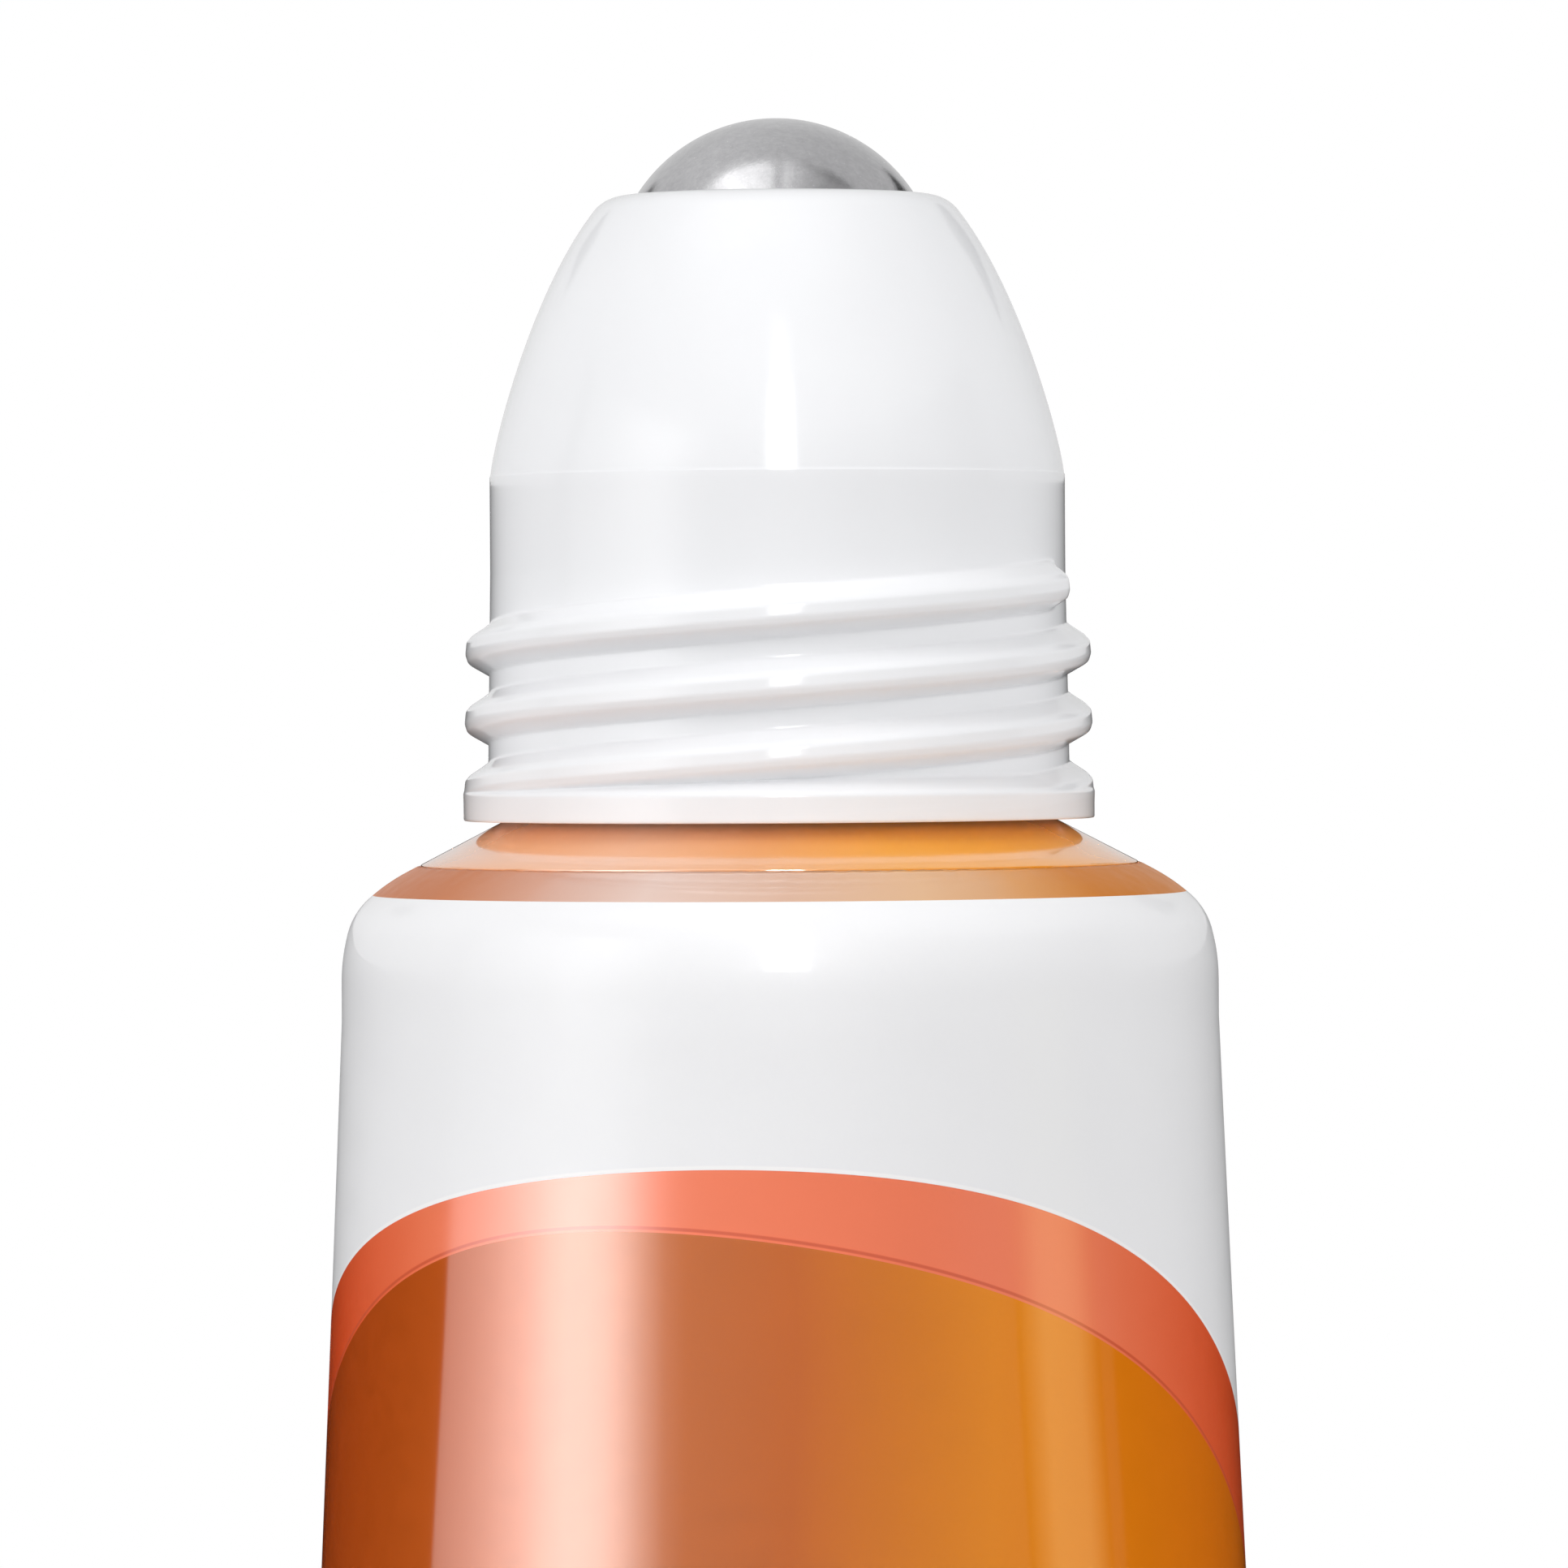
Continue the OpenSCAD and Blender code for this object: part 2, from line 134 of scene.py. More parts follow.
def make_piece(name, points, faces, body, node, zones=None):
    """Builds the mesh in metres from points in millimetres and blocks of faces, and ties it to the frame."""
    volume = enclosed_volume(points, faces)
    if volume < 0:
        faces = [block[:, ::-1] for block in faces]
    sides = np.concatenate([np.full(len(block), block.shape[1]) for block in faces])
    corners = np.concatenate([block.ravel() for block in faces]).astype(np.int32)
    mesh = bpy.data.meshes.new(name)
    mesh.vertices.add(len(points))
    mesh.vertices.foreach_set("co", (points * MM).astype(np.float32).ravel())
    mesh.loops.add(len(corners))
    mesh.loops.foreach_set("vertex_index", corners)
    mesh.polygons.add(len(sides))
    mesh.polygons.foreach_set("loop_start", (np.cumsum(sides) - sides).astype(np.int32))
    mesh.polygons.foreach_set("use_smooth", np.ones(len(sides), bool))
    if zones is not None:
        mesh.polygons.foreach_set("material_index", zones.astype(np.int32))
    mesh.update(calc_edges=True)
    mesh.validate()
    piece = in_scene(name, mesh)
    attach(piece, body)
    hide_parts(node)
    print(f"{name}: {len(points)} points, {int((sides - 2).sum())} triangles, {abs(volume):.1f} cubic mm")
    return piece


def point_values(piece, name, values):
    """Stores one number for each point, for a pattern that follows the surface."""
    attribute = piece.data.attributes.new(name, "FLOAT", "POINT")
    attribute.data.foreach_set("value", values.astype(np.float32).ravel())


# %% [markdown]
# ## Profiles
# Moulded parts have no knife edges: every corner of a tool leaves a small radius. A Bevel modifier
# could round them, but unevenly on the thread's steep grid. So a profile is drawn with straight
# stretches, each corner is rounded by a short curve, and long stretches get more rows. The finished
# list of radius and height is turned about Z.

# %% Round, fill and turn a profile
def soften(profile, radius, steps=3):
    """Cuts each corner at the given distance from it and joins the cuts by a parabola through
    (1-t)^2 times the first cut, 2t(1-t) times the corner and t^2 times the second cut."""
    p = np.asarray(profile, float)
    before, after = np.roll(p, 1, axis=0) - p, np.roll(p, -1, axis=0) - p
    reach_b, reach_a = np.linalg.norm(before, axis=1), np.linalg.norm(after, axis=1)
    cut = np.minimum(radius, 0.4 * np.minimum(reach_b, reach_a))[:, None]
    start, end = p + before / reach_b[:, None] * cut, p + after / reach_a[:, None] * cut
    t = np.linspace(0, 1, steps + 1)[None, :, None]
    curve = (1 - t) ** 2 * start[:, None] + 2 * t * (1 - t) * p[:, None] + t ** 2 * end[:, None]
    return curve.reshape(-1, 2)


def fill(profile, gap):
    """Puts evenly spaced points on every stretch longer than the gap, all the way round."""
    p = np.asarray(profile, float)
    ends = np.roll(p, -1, axis=0)
    pieces = np.maximum(1, np.ceil(np.linalg.norm(ends - p, axis=1) / gap)).astype(int)
    which = np.repeat(np.arange(len(p)), pieces)
    share = (np.arange(len(which)) - np.repeat(np.cumsum(pieces) - pieces, pieces)) / pieces[which]
    return p[which] + (ends - p)[which] * share[:, None]


def fill_upwards(profile, gap):
    """The same for a stretch that only climbs: the way back down from its top is left out."""
    rows = fill(profile, gap)
    return rows[:np.argmax(rows[:, 1]) + 1]


def turned(profile, columns):
    """Each row is the circle of one profile point: radius times cosine and sine, at its height."""
    theta = np.linspace(0, 2 * np.pi, columns, endpoint=False)
    r, z = profile[:, :1], profile[:, 1:]
    return np.stack([r * np.cos(theta), r * np.sin(theta), z + 0 * theta], axis=-1)


# %% [markdown]
# ## The white housing
# On the real tube this is one injection-moulded shell: a collar that stops the cap, a two-start
# thread, a plain band, a fine parting line and a dome that closes in on the ball. The thread could
# be a second mesh on a turned profile, but then it would only be stuck in. Here the radius at each
# point is the larger of the profile and of the ridge that passes there, so both are one skin.

# %% The thread as a height over the root
ridge_shares = np.array([-0.40, -0.35, -0.30, -0.155, -0.125, -0.02, 0.15, 0.23, 0.33, 0.40, 0.45])
ridge_rises = np.array([-1.2, -0.5, 0.05, 0.80, 0.90, 1.0, 0.96, 0.76, 0.31, 0.04, -0.4])
worn_share, no_ridge = 0.016, -2.0
blunt_degrees, blunt_share, sunk_share = 6, 0.3, 0.5
draft_top = root_top - 0.5


def ridge_section(share):
    """How high the ridge stands, as a share of its height, at a distance from its middle in shares of
    the pitch. The corners of the drawn section are worn round by averaging over a short stretch."""
    return np.mean([np.interp(share + s, ridge_shares, ridge_rises, left=no_ridge, right=no_ridge)
                    for s in np.linspace(-worn_share, worn_share, 5)], axis=0)


def thread_radius(theta, z):
    """The ridge falls by its lead in each turn to the right. For every start and turn: the ridge's
    middle height at this angle, the section there, and the round ramp of its blunt upper end. The
    root under it widens a little downwards, so that the part leaves its tool."""
    rise = np.full(np.broadcast(theta, z).shape, no_ridge)
    for start in range(starts):
        first_turn = np.mod(thread_start + 360 * start / starts - np.degrees(theta), 360)
        for turn in (first_turn, first_turn + 360):
            middle = land_z + thread_top - lead * turn / 360
            left = np.clip(1 - turn / blunt_degrees, 0, 1)
            ramp = blunt_share + (1 - blunt_share) * np.sqrt(1 - left ** 2)
            here = (ridge_section((z - middle) / pitch) + sunk_share) * ramp - sunk_share
            rise = np.maximum(rise, np.where(middle > land_z - pitch, here, no_ridge))
    drafted = root_r + root_draft * np.clip((draft_top - z) / (draft_top - land_z - collar_h), 0, 1)
    return drafted + thread_h * rise


def larger(a, b, blend):
    """The larger of two values, with the inside corner between them filled by a small curve."""
    return 0.5 * (a + b + np.sqrt((a - b) ** 2 + blend ** 2))


# %% The dome, the rim and the socket
socket_r = ball_r + ball_gap
mouth_rise = np.arcsin((rim_z - ball_z) / socket_r)
top_lean, foot_lean = rad(dome_top_lean), rad(dome_foot_lean)
dome_foot = np.array([housing_r - parting_step, parting_z])
dome_top = np.array([socket_r * np.cos(mouth_rise) + rim_flat + rim_round * np.cos(top_lean),
                     rim_z - rim_round * (1 - np.sin(top_lean))])
chord = np.linalg.norm(dome_top - dome_foot)
foot_handle = dome_foot + 0.1 * chord * np.array([-np.sin(foot_lean), np.cos(foot_lean)])
top_handle = dome_top - 0.365 * chord * np.array([-np.sin(top_lean), np.cos(top_lean)])


def dome_curve(t):
    """A cubic curve from the parting line to the rim, with one handle at each end."""
    t = t[:, None]
    return ((1 - t) ** 3 * dome_foot + 3 * t * (1 - t) ** 2 * foot_handle
            + 3 * t ** 2 * (1 - t) * top_handle + t ** 3 * dome_top)


lean = np.linspace(top_lean, np.pi / 2, 12)[1:]
rim_arc = dome_top + rim_round * np.stack([np.cos(lean) - np.cos(top_lean), np.sin(lean) - np.sin(top_lean)], axis=-1)
rise = np.linspace(mouth_rise - 0.01, 0, 10)
socket_arc = np.stack([socket_r * np.cos(rise), ball_z + socket_r * np.sin(rise)], axis=-1)
print(f"the dome leans {dome_foot_lean} degrees at its foot and {dome_top_lean} at the rim")

# %% The housing's profile
def snap_bead(r):
    """The bead's section on a wall of radius r, from its upper end down."""
    return [[r, bead_z + 0.4], [r + bead_out, bead_z + 0.1], [r + bead_out, bead_z - 0.1], [r, bead_z - 0.4]]


ball_well_z, skirt_top = ball_z - ball_well, land_z + skirt_h
chamfer, collar_top = (collar_h - collar_edge) / 4, land_z + collar_edge
outside = soften([
    [skirt_bore_r + 0.1, land_z + 0.1], [skirt_bore_r + 0.2, land_z], [collar_r, land_z], [collar_r, collar_top],
    [collar_r - chamfer, collar_top + chamfer], [root_r + root_draft, land_z + collar_h], [root_r, draft_top],
    [root_r, root_top + 0.1], [housing_r, root_top + 0.4], [housing_r, parting_z - 0.05],
    [housing_r - 0.03, parting_z - 0.01]], 0.05)[4:-4]
inside = soften([
    [socket_r, ball_z + 0.1], [socket_r, ball_well_z], [cup_bore_r, ball_well_z], [cup_bore_r, skirt_top],
    [skirt_bore_r, skirt_top], *snap_bead(skirt_bore_r), [skirt_bore_r, land_z + 0.2],
    [skirt_bore_r + 0.1, land_z + 0.1]], 0.06, 2)[3:-3]
in_thread = outside[:, 1] < root_top + 0.2
thread_row, plain_row = 0.039, 0.3
threaded, plain = fill_upwards(outside[in_thread], thread_row), fill_upwards(outside[~in_thread], plain_row)
housing_profile = np.concatenate([threaded, plain, dome_curve(np.linspace(0, 1, 40)), rim_arc, socket_arc, inside])
print(f"the housing's profile has {len(housing_profile)} rows, {len(threaded)} of them in the thread")

# %% The housing's skin
housing_columns = 320
skin = turned(housing_profile, housing_columns)
theta = np.arctan2(skin[..., 1], skin[..., 0])
radius = np.repeat(housing_profile[:, :1], housing_columns, axis=1)
foot_blend = 0.03
wound = larger(radius, thread_radius(theta, skin[..., 2]), foot_blend)
fade = np.clip((skin[..., 2] - land_z) / foot_blend, 0, 1)
on_outside = (np.arange(len(housing_profile)) < len(threaded)) & (housing_profile[:, 0] > root_r - 0.02)
radius = np.where(on_outside[:, None], radius + (wound - radius) * fade, radius)
skin[..., 0], skin[..., 1] = radius * np.cos(theta), radius * np.sin(theta)
housing_shell = make_piece("housing_shell", skin.reshape(-1, 3),
                           [grid_faces(len(housing_profile), housing_columns, closed=True)],
                           "shell", "roller_housing")

# %% [markdown]
# ## The roller ball
# A ground steel ball has no seam, so its grid should not show one. The usual sphere has its poles
# on top, where the camera looks. Here the poles lie on X, the axis that the ball turns about, so
# they stay hidden in the socket however far it rolls.

# %% The ball's surface
def ball_surface(rows, columns):
    """Latitude b from one pole to the other and angle a round X: X is r sin b, and the circle of
    radius r cos b lies in Y and Z. Each pole is a single point."""
    b = np.linspace(-np.pi / 2, np.pi / 2, rows + 2)[1:-1, None]
    a = np.linspace(0, 2 * np.pi, columns, endpoint=False)[None, :]
    grid = np.stack([np.sin(b) + 0 * a, np.cos(b) * np.cos(a), np.cos(b) * np.sin(a)], axis=-1).reshape(-1, 3)
    poles = np.array([[-1.0, 0, 0], [1.0, 0, 0]])
    return np.concatenate([grid, poles]) * ball_r + np.array([0, 0, ball_z])


def tube_faces(rows, columns):
    """A grid whose first and last ring are closed by fans to the two points that follow it."""
    count = rows * columns
    return [grid_faces(rows, columns), fan_faces(np.arange(columns)[::-1], count),
            fan_faces(np.arange(count - columns, count), count + 1)]


ball_rows, ball_columns = 118, 192
steel_ball = make_piece("steel_ball", ball_surface(ball_rows, ball_columns), tube_faces(ball_rows, ball_columns),
                        "ball", "roller_ball")

# %% [markdown]
# ## The shoulder's outline
# The sleeve is pressed over the moulded shoulder, so both share one outline: a wide bend, a tight
# corner and a bend that runs out into a straight cone. A spline through a few points would wander.
# Each bend here is an arc that starts with the lean at which the last one ended, which gives one
# soft line of light.

# %% Bends of the shoulder
def bend(foot, radius, start, end, steps):
    """From a foot with a lean from upright: the radius shrinks by the difference of the leans'
    cosines times the bend's radius, and the height grows by the difference of their sines."""
    leans = np.linspace(start, end, steps + 1)[1:]
    return np.stack([foot[0] + radius * (np.cos(rad(leans)) - np.cos(rad(start))),
                     foot[1] + radius * (np.sin(rad(leans)) - np.sin(rad(start))), leans], axis=-1)


def inset(path, depth):
    """Moves each point of a path in, square to its lean."""
    lean = rad(path[:, 2])
    return np.stack([path[:, 0] - depth * np.cos(lean), path[:, 1] - depth * np.sin(lean)], axis=-1)


shoulder_foot = np.array([[tube_r, body_len, 0.0]])
foot_bend = bend(shoulder_foot[-1], foot_bend_r, 0, foot_bend_lean, 6)
corner_bend = bend(foot_bend[-1], corner_r, foot_bend_lean, corner_lean, 10)
cone_bend = bend(corner_bend[-1], top_bend_r, corner_lean, cone_lean, 8)
edge = cone_bend[-1] + np.array([-fold_reach, fold_reach / np.tan(rad(cone_lean)), 0])
shoulder_path = np.concatenate([shoulder_foot, foot_bend, corner_bend, cone_bend, edge[None]])
print(f"the folded edge lies at r {edge[0]:.2f} mm, {edge[1]:.2f} mm up")

# %% [markdown]
# ## The shoulder and neck
# This is the glossy orange moulding between the sleeve and the white collar. It is round, so it is
# a turned profile: up the neck's bore, over its snap bead, across the flat land and down the cone
# to the small step where the sleeve's edge begins. The CAD solid could be kept, but its facets would
# show in a surface this glossy.

# %% The head's profile
neck_r = skirt_bore_r - neck_gap
neck_bore_r, neck_top, land_r = neck_r - neck_wall, land_z + neck_h, neck_r + land_w
fold_stop = np.array([[edge[0] - head_gap, edge[1] + head_gap / np.tan(rad(cone_lean)), cone_lean]])
sleeve_depth = wall + (fold_t - wall) * shoulder_path[:, 2] / cone_lean
under_sleeve = inset(shoulder_path, sleeve_depth + head_gap)[::-1]
under_land = inset(np.array([[land_r, land_z, cone_lean]]), head_wall)[0]
head_skirt_z, head_inner_r = body_len - round_len + head_gap, inner_r - head_gap - skirt_t


def under_cone(r):
    """Height of the shoulder's inner cone at a radius."""
    return under_land[1] + (under_land[0] - r) / np.tan(rad(cone_lean))


head_corners = np.concatenate([
    [[neck_bore_r, neck_top], [neck_r - 0.2, neck_top], [neck_r, neck_top - 0.2], *snap_bead(neck_r), [neck_r, land_z],
     [land_r, land_z]], fold_stop[:, :2], inset(fold_stop, fold_t + head_gap), under_sleeve,
    [[inner_r - head_gap, head_skirt_z], [head_inner_r, head_skirt_z], [head_inner_r, under_cone(head_inner_r)],
     [neck_bore_r, under_cone(neck_bore_r)]]])

# %% The head's skin
head_columns = 256
head_profile = fill(soften(head_corners, 0.04, 2), 0.35)
shoulder_and_neck = make_piece("shoulder_and_neck", turned(head_profile, head_columns).reshape(-1, 3),
                               [grid_faces(len(head_profile), head_columns, closed=True)],
                               "shell", "tube_head")
# The place from left to right round the shoulder, which its painted light follows.
rightness = 0.5 + 0.5 * np.cos(2 * np.pi * np.arange(head_columns) / head_columns)
point_values(shoulder_and_neck, "around", np.broadcast_to(rightness, (len(head_profile), head_columns)))

# %% [markdown]
# ## The printed sleeve
# A laminate tube starts as a printed flat sheet, rolled into a pipe and welded. Only its top stays
# round. Lower down it flattens evenly into the crimp, and because foil doesn't stretch, its girth
# stays the same. A pipe scaled flat by a lattice would stretch the print. So the section is an
# ellipse whose width grows as its depth shrinks, and the columns sit at equal shares of the girth.

# %% Sections of the sleeve
girth_columns = 320
girth_share = np.arange(girth_columns) / girth_columns
phi = 2 * np.pi * girth_share
flat_half_w, round_z = np.pi * inner_r / 2, body_len - round_len
girth_power = np.log(2) / np.log(np.pi / 2)


def section(share, t):
    """The oval at a share of the way from round to flat, with a wall of t outside the inner girth.
    Its inner half width grows with the share, and its half depth follows from the equal girth. Near
    the crimp the oval turns square. Its points are spread evenly along its own length."""
    half_w = inner_r + (flat_half_w - inner_r) * share * (0.7 + 0.3 * share)
    half_d = max(0.0, flat_half_w ** girth_power - half_w ** girth_power) ** (1 / girth_power)
    power = 2 + 10 * share ** 40
    turn = np.linspace(0, 2 * np.pi, 4001) - np.pi / 2
    x = (half_w + t) * np.sign(np.cos(turn)) * np.abs(np.cos(turn)) ** (2 / power)
    y = (half_d + t) * np.sign(np.sin(turn)) * np.abs(np.sin(turn)) ** (2 / power)
    length = np.concatenate([[0], np.cumsum(np.hypot(np.diff(x), np.diff(y)))])
    wanted = girth_share * length[-1]
    return np.stack([np.interp(wanted, length, x), np.interp(wanted, length, y)], axis=-1)


section_shares = 1 - np.linspace(0, 1, 181) ** 1.8
outer_sections = np.stack([section(s, wall) for s in section_shares])
inner_sections = np.stack([section(min(s, 0.998), 0.0) for s in section_shares])
print(f"the crimp is {np.ptp(outer_sections[0, :, 0]):.2f} mm wide, the top {np.ptp(outer_sections[-1, :, 0]):.2f} mm")


def place(sections, z):
    """Looks up each point's oval by its own height, between the two nearest sections of the table."""
    share = np.clip((round_z - z) / (round_z - crimp_h), 0, 1)
    at = np.interp(1 - share, 1 - section_shares, np.arange(len(section_shares)))
    low = np.minimum(at.astype(int), len(section_shares) - 2)
    column = np.broadcast_to(np.arange(girth_columns), z.shape)
    part = (at - low)[..., None]
    flat = sections[low, column] * (1 - part) + sections[low + 1, column] * part
    return np.concatenate([flat, z[..., None]], axis=-1)


# %% [markdown]
# The two edges of the coral band climb in front and fall away towards the back. They could be
# painted with a mask, but a mask blurs when the camera comes near. So each edge is a height summed
# from waves round the girth, and the grid's rows follow it: each colour is its own set of faces.

# %% Edges of the print
def wave_edge(level, once_cos, once_sin, twice_cos, twice_sin):
    """A level height plus one wave and two waves round the girth."""
    return (level + once_cos * np.cos(phi) + once_sin * np.sin(phi)
            + twice_cos * np.cos(2 * phi) + twice_sin * np.sin(2 * phi))


def rows_between(low, high, shares):
    """Rows that pass evenly from one height or curve of heights to another."""
    level = np.ones(girth_columns)
    return low * level + (high - low) * level * shares[:, None]


coral_top = wave_edge(83.634, 7.361, -1.320, -1.064, 0.477)
coral_foot = wave_edge(80.172, 9.837, -1.532, -1.604, 0.086)
tail_rows = rows_between(0, crimp_h, np.array([0.004, 0.012, 0.03, 0.2, 0.4, 0.6, 0.8, 0.93]))
copper_rows = rows_between(crimp_h, coral_foot, np.concatenate([np.linspace(0, 1, 90)[:-1] ** 1.3, [0.9993]]))
coral_rows = rows_between(coral_foot, coral_top, np.concatenate([[0.0], np.linspace(0.02, 0.98, 10), [1.0]]))
white_rows = rows_between(coral_top, body_len, np.linspace(0.01, 1, 26))
outer_z = np.concatenate([tail_rows, copper_rows, coral_rows, white_rows])
outer_body = place(outer_sections, outer_z)
behind = girth_columns // 2
print(f"the band spans {coral_foot[0]:.1f} to {coral_top[0]:.1f} mm in front, "
      f"{coral_foot[behind]:.1f} to {coral_top[behind]:.1f} mm behind")

# %% [markdown]
# ## The crimp and the folded edge
# The tail is closed by hot jaws that leave upright ribs in the foil, and their pattern hides the
# weld. At the other end the sleeve's cut edge is rolled over the cone, where the foil puckers into
# fine wrinkles. A bump in the finish could fake both, but it would vanish at the outline. So both
# are waves in the mesh, and only the finer grain is left to the finish.

# %% Ribs and the rolled edge
rib_pitch, rib_depth, jaw_low, jaw_high, jaw_fade = 1.1, 0.07, 0.5, 4.6, 0.25
flat_half, pucker_depth, pucker_r = 13.6, 0.006, 8.6
jaw = np.clip((outer_z - jaw_low) / jaw_fade, 0, 1) * np.clip((jaw_high - outer_z) / jaw_fade, 0, 1)
rib = 0.5 - 0.5 * np.cos(2 * np.pi * outer_body[..., 0] / rib_pitch)
flat_side = np.clip((flat_half - np.abs(outer_body[..., 0])) / 0.3, 0, 1)
outer_body[..., 1] -= np.sign(outer_body[..., 1]) * rib_depth * rib * jaw * flat_side


def round_rows(path):
    """Circles in the sleeve's own columns: phi is 0 in front and grows to the right."""
    r, z = path[:, :1], path[:, 1:2]
    return np.stack([r * np.sin(phi), -r * np.cos(phi), z + 0 * phi], axis=-1)


top_path = shoulder_path[1:]
rolled = np.concatenate([top_path[:-1], (top_path[-2] * 0.5 + top_path[-1] * 0.5)[None],
                         (top_path[-2] * 0.1 + top_path[-1] * 0.9)[None]])
outer_top = round_rows(rolled)
wrinkle = (np.sin(97 * phi + 2 * np.sin(3 * phi)) + 0.6 * np.sin(61 * phi + 1.3)) * (1 + 0.5 * np.sin(5 * phi))
outer_top[..., 2] += pucker_depth * wrinkle * np.clip((pucker_r - rolled[:, :1]) / 0.8, 0, 1)
lip = inset(np.concatenate([top_path[-1:]] * 2), np.array([0.03, fold_t]))

# %% The inside, and all rows of the sleeve
inner_path = inset(shoulder_path, sleeve_depth)[::-1][1:-1]
inner_body = place(inner_sections, rows_between(crimp_h, body_len - 0.05, np.linspace(1, 0, 60)))
tail_end = outer_body[:1] * np.array([0.999, 0.96, 0])
rows = np.concatenate([tail_end, outer_body, outer_top, round_rows(lip), round_rows(inner_path), inner_body])
print(f"the sleeve has {len(rows)} rows of {girth_columns} points")


def strip_cap(first):
    """Closes a flat ring: each column on the front joins the one behind it at the same width."""
    j = np.arange(-girth_columns // 4, girth_columns // 4)
    front, front_next = j % girth_columns, (j + 1) % girth_columns
    back, back_next = (behind - j) % girth_columns, (behind - j - 1) % girth_columns
    quads = np.stack([front, front_next, back_next, back], axis=-1) + first
    return quads[1:-1], quads[:1, :3], quads[-1:, [0, 1, 3]]


# %% The sleeve's skin
print_edge_r = 8.85
caps = [block[:, ::-1] for block in strip_cap(0)] + list(strip_cap((len(rows) - 1) * girth_columns))
row_of_face = np.repeat(np.arange(len(rows) - 1), girth_columns)
coral_start = 1 + len(tail_rows) + len(copper_rows)
white_start = coral_start + len(coral_rows) - 1
rim_start = white_start + len(white_rows) + 1 + int(np.argmin(np.abs(rolled[:, 0] - print_edge_r)))
inside_start = 1 + len(outer_body) + len(outer_top) + len(lip)
zone_starts = (inside_start, rim_start, white_start, coral_start)
zone = np.select([row_of_face >= start for start in zone_starts], [3, 4, 2, 1], 0)
zones = np.concatenate([zone, np.zeros(sum(len(block) for block in caps), int)])
printed_sleeve = make_piece("printed_sleeve", rows.reshape(-1, 3), [grid_faces(len(rows), girth_columns), *caps],
                            "shell", "tube_sleeve", zones)
point_values(printed_sleeve, "above_coral", rows[..., 2] - coral_top)
point_values(printed_sleeve, "above_copper", rows[..., 2] - coral_foot)
# The place from left to right round the sleeve, which the painted light of its print follows.
point_values(printed_sleeve, "around", np.broadcast_to(0.5 + 0.5 * np.sin(phi), rows.shape[:2]))

# %% [markdown]
# ## The spring
# A small compression spring pushes the ball's seat up. A curve with a round bevel could draw it, but
# a wound spring ends in closed turns, so the climb is slow at both ends and even between. The wire
# is a circle carried along that path, square to it. A coil shortens when it is squashed, and nothing
# else on it moves; here the piece gets a mesh of its own.

# %% The coil
coil_low, coil_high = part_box("ball_spring")
spring_low, spring_high = coil_low.z / MM, coil_high.z / MM
wire_r, coil_r, turns, closed_turns, closed_rise = 0.175, 1.85, 5.5, 0.8, 0.33


def coil_surface(steps, sides):
    """Along the wire the turn grows from 0 to the number of turns, and the height is its closed turns'
    rise at both ends and an even climb between. The ring round it lies square to the wire."""
    turn = np.linspace(0, 1, steps) * turns
    angle = 2 * np.pi * turn
    between = spring_high - spring_low - 2 * wire_r - 2 * closed_rise
    z = (spring_low + wire_r + closed_rise * np.clip(turn / closed_turns, 0, 1)
         + closed_rise * np.clip((turn - turns + closed_turns) / closed_turns, 0, 1)
         + between * np.clip((turn - closed_turns) / (turns - 2 * closed_turns), 0, 1))
    centre = np.stack([coil_r * np.cos(angle), coil_r * np.sin(angle), z], axis=-1)
    along = np.gradient(centre, axis=0)
    along /= np.linalg.norm(along, axis=1, keepdims=True)
    out = np.stack([np.cos(angle), np.sin(angle), 0 * angle], axis=-1)
    up = np.cross(along, out)
    ring = np.linspace(0, 2 * np.pi, sides, endpoint=False)[None, :, None]
    skin = centre[:, None] + wire_r * (np.cos(ring) * out[:, None] + np.sin(ring) * up[:, None])
    return np.concatenate([skin.reshape(-1, 3), centre[:1], centre[-1:]])


coil_steps, coil_sides = 420, 14
coil_spring = make_piece("coil_spring", coil_surface(coil_steps, coil_sides), tube_faces(coil_steps, coil_sides),
                         "shell", "ball_spring")
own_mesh(coil_spring)

# %% [markdown]
# ## Finishes
# Image textures could bring life into a plain shader, but they end at their resolution. Each
# finish here has a colour that drifts a little and a relief far too fine for the mesh, and most also
# a gloss that drifts. The patterns read the piece's own coordinates in millimetres, so a scratch
# or a grain has a real size.

# %% Node helpers
def feed(tree, socket, value):
    """Links an output to a socket, or sets a plain value or colour on it."""
    if hasattr(value, "links"):
        tree.links.new(value, socket)
    else:
        socket.default_value = (*value, 1) if isinstance(value, tuple) else value


def add_node(tree, kind, inputs=None):
    """A new node, and what its inputs get by their name or number."""
    node = tree.nodes.new(kind)
    for socket, value in (inputs or {}).items():
        feed(tree, node.inputs[socket], value)
    return node


